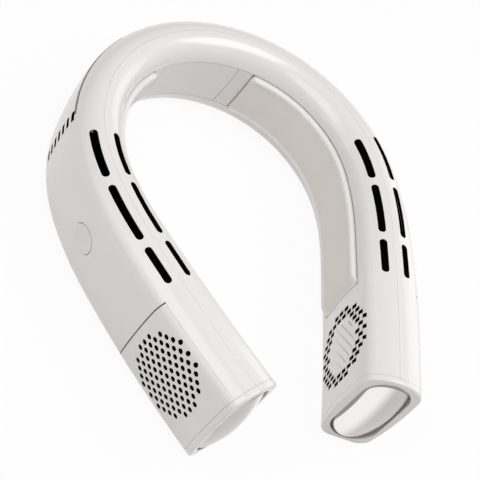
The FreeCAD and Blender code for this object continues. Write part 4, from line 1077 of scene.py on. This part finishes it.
class Dresser:
    """Gives each CAD node its finish."""

    def __init__(self, finishes: Finishes) -> None:
        """Set the finish of every kind of node.

        Args:
            finishes: the fan's finishes.
        """
        self.by_kind = {
            "outer_shell": finishes.shell, "inner_shell": finishes.shell, "rear_cover": finishes.shell,
            "fan_cover": finishes.shell, "end_bezel": finishes.shell, "end_insert": finishes.pearl,
            "rear_neck_plate": finishes.plate, "link_panel": finishes.link, "neck_pad": finishes.pad_face,
            "power_button": finishes.button, "duct_floor": finishes.duct, "fan_scroll": finishes.duct,
            "motor_base": finishes.duct, "cell_saddle": finishes.duct, "impeller": finishes.impeller,
            "rotor_cup": finishes.steel, "rotor_shaft": finishes.steel, "charge_socket": finishes.steel,
            "case_screws": finishes.steel, "motor_screws": finishes.steel, "magnet_ring": finishes.magnet,
            "bearing": finishes.bronze, "stator": finishes.copper, "battery_cell": finishes.wrap,
            "switch_board": finishes.board, "charge_board": finishes.board, "button_switch": finishes.black,
            "switch_plunger": finishes.black, "wiring_loom": finishes.black, "motor_lead": finishes.black,
        }
        self.made: dict[str, bpy.types.Material] = {}

    def dress(self, nodes: dict[str, bpy.types.Object]) -> None:
        """Assign a material to every node.

        Args:
            nodes: the CAD objects by node name.
        """
        for name, node in nodes.items():
            kind = name.removeprefix("left_").removeprefix("right_")
            finish = self.by_kind[kind]
            if finish.name not in self.made:
                self.made[finish.name] = finish.material()
            if not node.material_slots:
                node.data.materials.append(self.made[finish.name])
            for slot in node.material_slots:
                slot.material = self.made[finish.name]
            LOG.info("%s: %s", name, finish.name)


@dataclass(frozen=True)
class Lamp:
    """A soft square lamp: where it hangs, its power and its side in metres."""

    name: str
    place: tuple[float, float, float]
    watts: float
    side: float


@dataclass
class Studio:
    """Camera, floor and lights; angles in degrees, lengths in metres, the sensor in millimetres."""

    azimuth: float = -51.04
    elevation: float = 46.62
    roll: float = 41.54
    distance: float = 1.04723
    shift_right: float = 0.01331
    shift_up: float = 0.00739
    focal_pixels: float = 2057.0
    frame_pixels: float = 480.0
    sensor: float = 36.0
    near_clip: float = 0.01
    floor_size: float = 6.0
    floor_drop: float = 0.0004
    floor_tone: float = 0.88
    floor_glow: float = 0.93
    world_strength: float = 0.37
    aim: tuple[float, float, float] = (0.0, 0.0, 0.03)
    lamps: tuple[Lamp, ...] = (
        Lamp("top_softbox", (0.4, -0.15, 1.0), 4.9, 0.6),
        Lamp("left_fill", (-0.9, 0.1, 0.75), 1.5, 0.8),
        Lamp("inner_fill", (-0.22, -0.05, 0.5), 0.65, 0.32),
        Lamp("right_rim", (1.0, 0.25, 0.3), 1.6, 0.6))

    def axes(self) -> tuple[Vector, Vector, Vector]:
        """Right, up and backward directions of the camera."""
        angles = (self.azimuth, self.elevation, self.roll)
        azimuth, elevation, roll = (math.radians(angle) for angle in angles)
        back = Vector((math.sin(azimuth) * math.cos(elevation), -math.cos(azimuth) * math.cos(elevation),
                       math.sin(elevation)))
        level = Vector((math.cos(azimuth), math.sin(azimuth), 0.0))
        upright = back.cross(level)
        right = level * math.cos(roll) + upright * math.sin(roll)
        up = upright * math.cos(roll) - level * math.sin(roll)
        return right, up, back

    def camera(self) -> None:
        """Add the camera at the photograph's angle."""
        right, up, back = self.axes()
        data = bpy.data.cameras.new("camera")
        data.sensor_width = self.sensor
        data.lens = self.focal_pixels / self.frame_pixels * self.sensor
        data.clip_start = self.near_clip
        camera = bpy.data.objects.new("camera", data)
        place = back * self.distance + right * self.shift_right + up * self.shift_up
        camera.matrix_world = Matrix((
            (right.x, up.x, back.x, place.x),
            (right.y, up.y, back.y, place.y),
            (right.z, up.z, back.z, place.z),
            (0.0, 0.0, 0.0, 1.0)))
        bpy.context.scene.collection.objects.link(camera)
        bpy.context.scene.camera = camera

    def floor(self) -> None:
        """Add the white floor that keeps a faint shadow."""
        graph = Graph("floor_white")
        path = graph.node("ShaderNodeLightPath")
        seen = (graph.out(path, "Is Camera Ray") + graph.out(path, "Is Glossy Ray")
                + graph.out(path, "Is Transmission Ray"))
        glow = graph.node("ShaderNodeEmission", None, {"Color": WHITE, "Strength": 1.0})
        matt = graph.node("ShaderNodeBsdfDiffuse", None, {"Color": (*[self.floor_tone] * 3, 1.0)})
        mix = graph.node("ShaderNodeMixShader", None, {0: seen * self.floor_glow})
        graph.tree.links.new(matt.outputs[0], mix.inputs[1])
        graph.tree.links.new(glow.outputs[0], mix.inputs[2])
        material = graph.close(mix)
        mesh = bmesh.new()
        bmesh.ops.create_grid(mesh, x_segments=1, y_segments=1, size=self.floor_size)
        bmesh.ops.translate(mesh, verts=mesh.verts, vec=(0.0, 0.0, -self.floor_drop))
        data = bpy.data.meshes.new("floor")
        mesh.to_mesh(data)
        mesh.free()
        data.materials.append(material)
        floor = bpy.data.objects.new("floor", data)
        bpy.context.scene.collection.objects.link(floor)

    def lamp(self, lamp: Lamp) -> None:
        """Add one soft square lamp that faces the fan.

        Args:
            lamp: its name, place, power and size.
        """
        data = bpy.data.lights.new(lamp.name, "AREA")
        data.energy = lamp.watts
        data.size = lamp.side
        holder = bpy.data.objects.new(lamp.name, data)
        place = Vector(lamp.place)
        turn = (Vector(self.aim) - place).to_track_quat("-Z", "Y")
        holder.matrix_world = Matrix.Translation(place) @ turn.to_matrix().to_4x4()
        bpy.context.scene.collection.objects.link(holder)

    def light(self) -> None:
        """Add the world and the lamps."""
        world = bpy.data.worlds.new("studio")
        bpy.context.scene.world = world
        world.use_nodes = True
        back = world.node_tree.nodes["Background"]
        back.inputs["Color"].default_value = WHITE
        back.inputs["Strength"].default_value = self.world_strength
        for lamp in self.lamps:
            self.lamp(lamp)
        bpy.context.scene.view_settings.view_transform = "Standard"

    def build(self) -> None:
        """Add all of it."""
        self.camera()
        self.floor()
        self.light()


def main() -> None:
    """Build the fan's looks."""
    logging.basicConfig(level=logging.INFO, format="%(name)s: %(message)s")
    finishes = Finishes()
    Dresser(finishes).dress(frame["nodes"])
    for arm in Arm:
        NeckPad(arm).build(finishes)
        DuctShadeLiner(arm).build(finishes)
        DustScreens(arm).build(finishes)
        HoleShadeSleeves(arm).build(finishes)
        CoverBead(arm).build(finishes)
    CrownFiller().build(finishes)
    Studio().build()


if __name__ == "__main__":
    main()
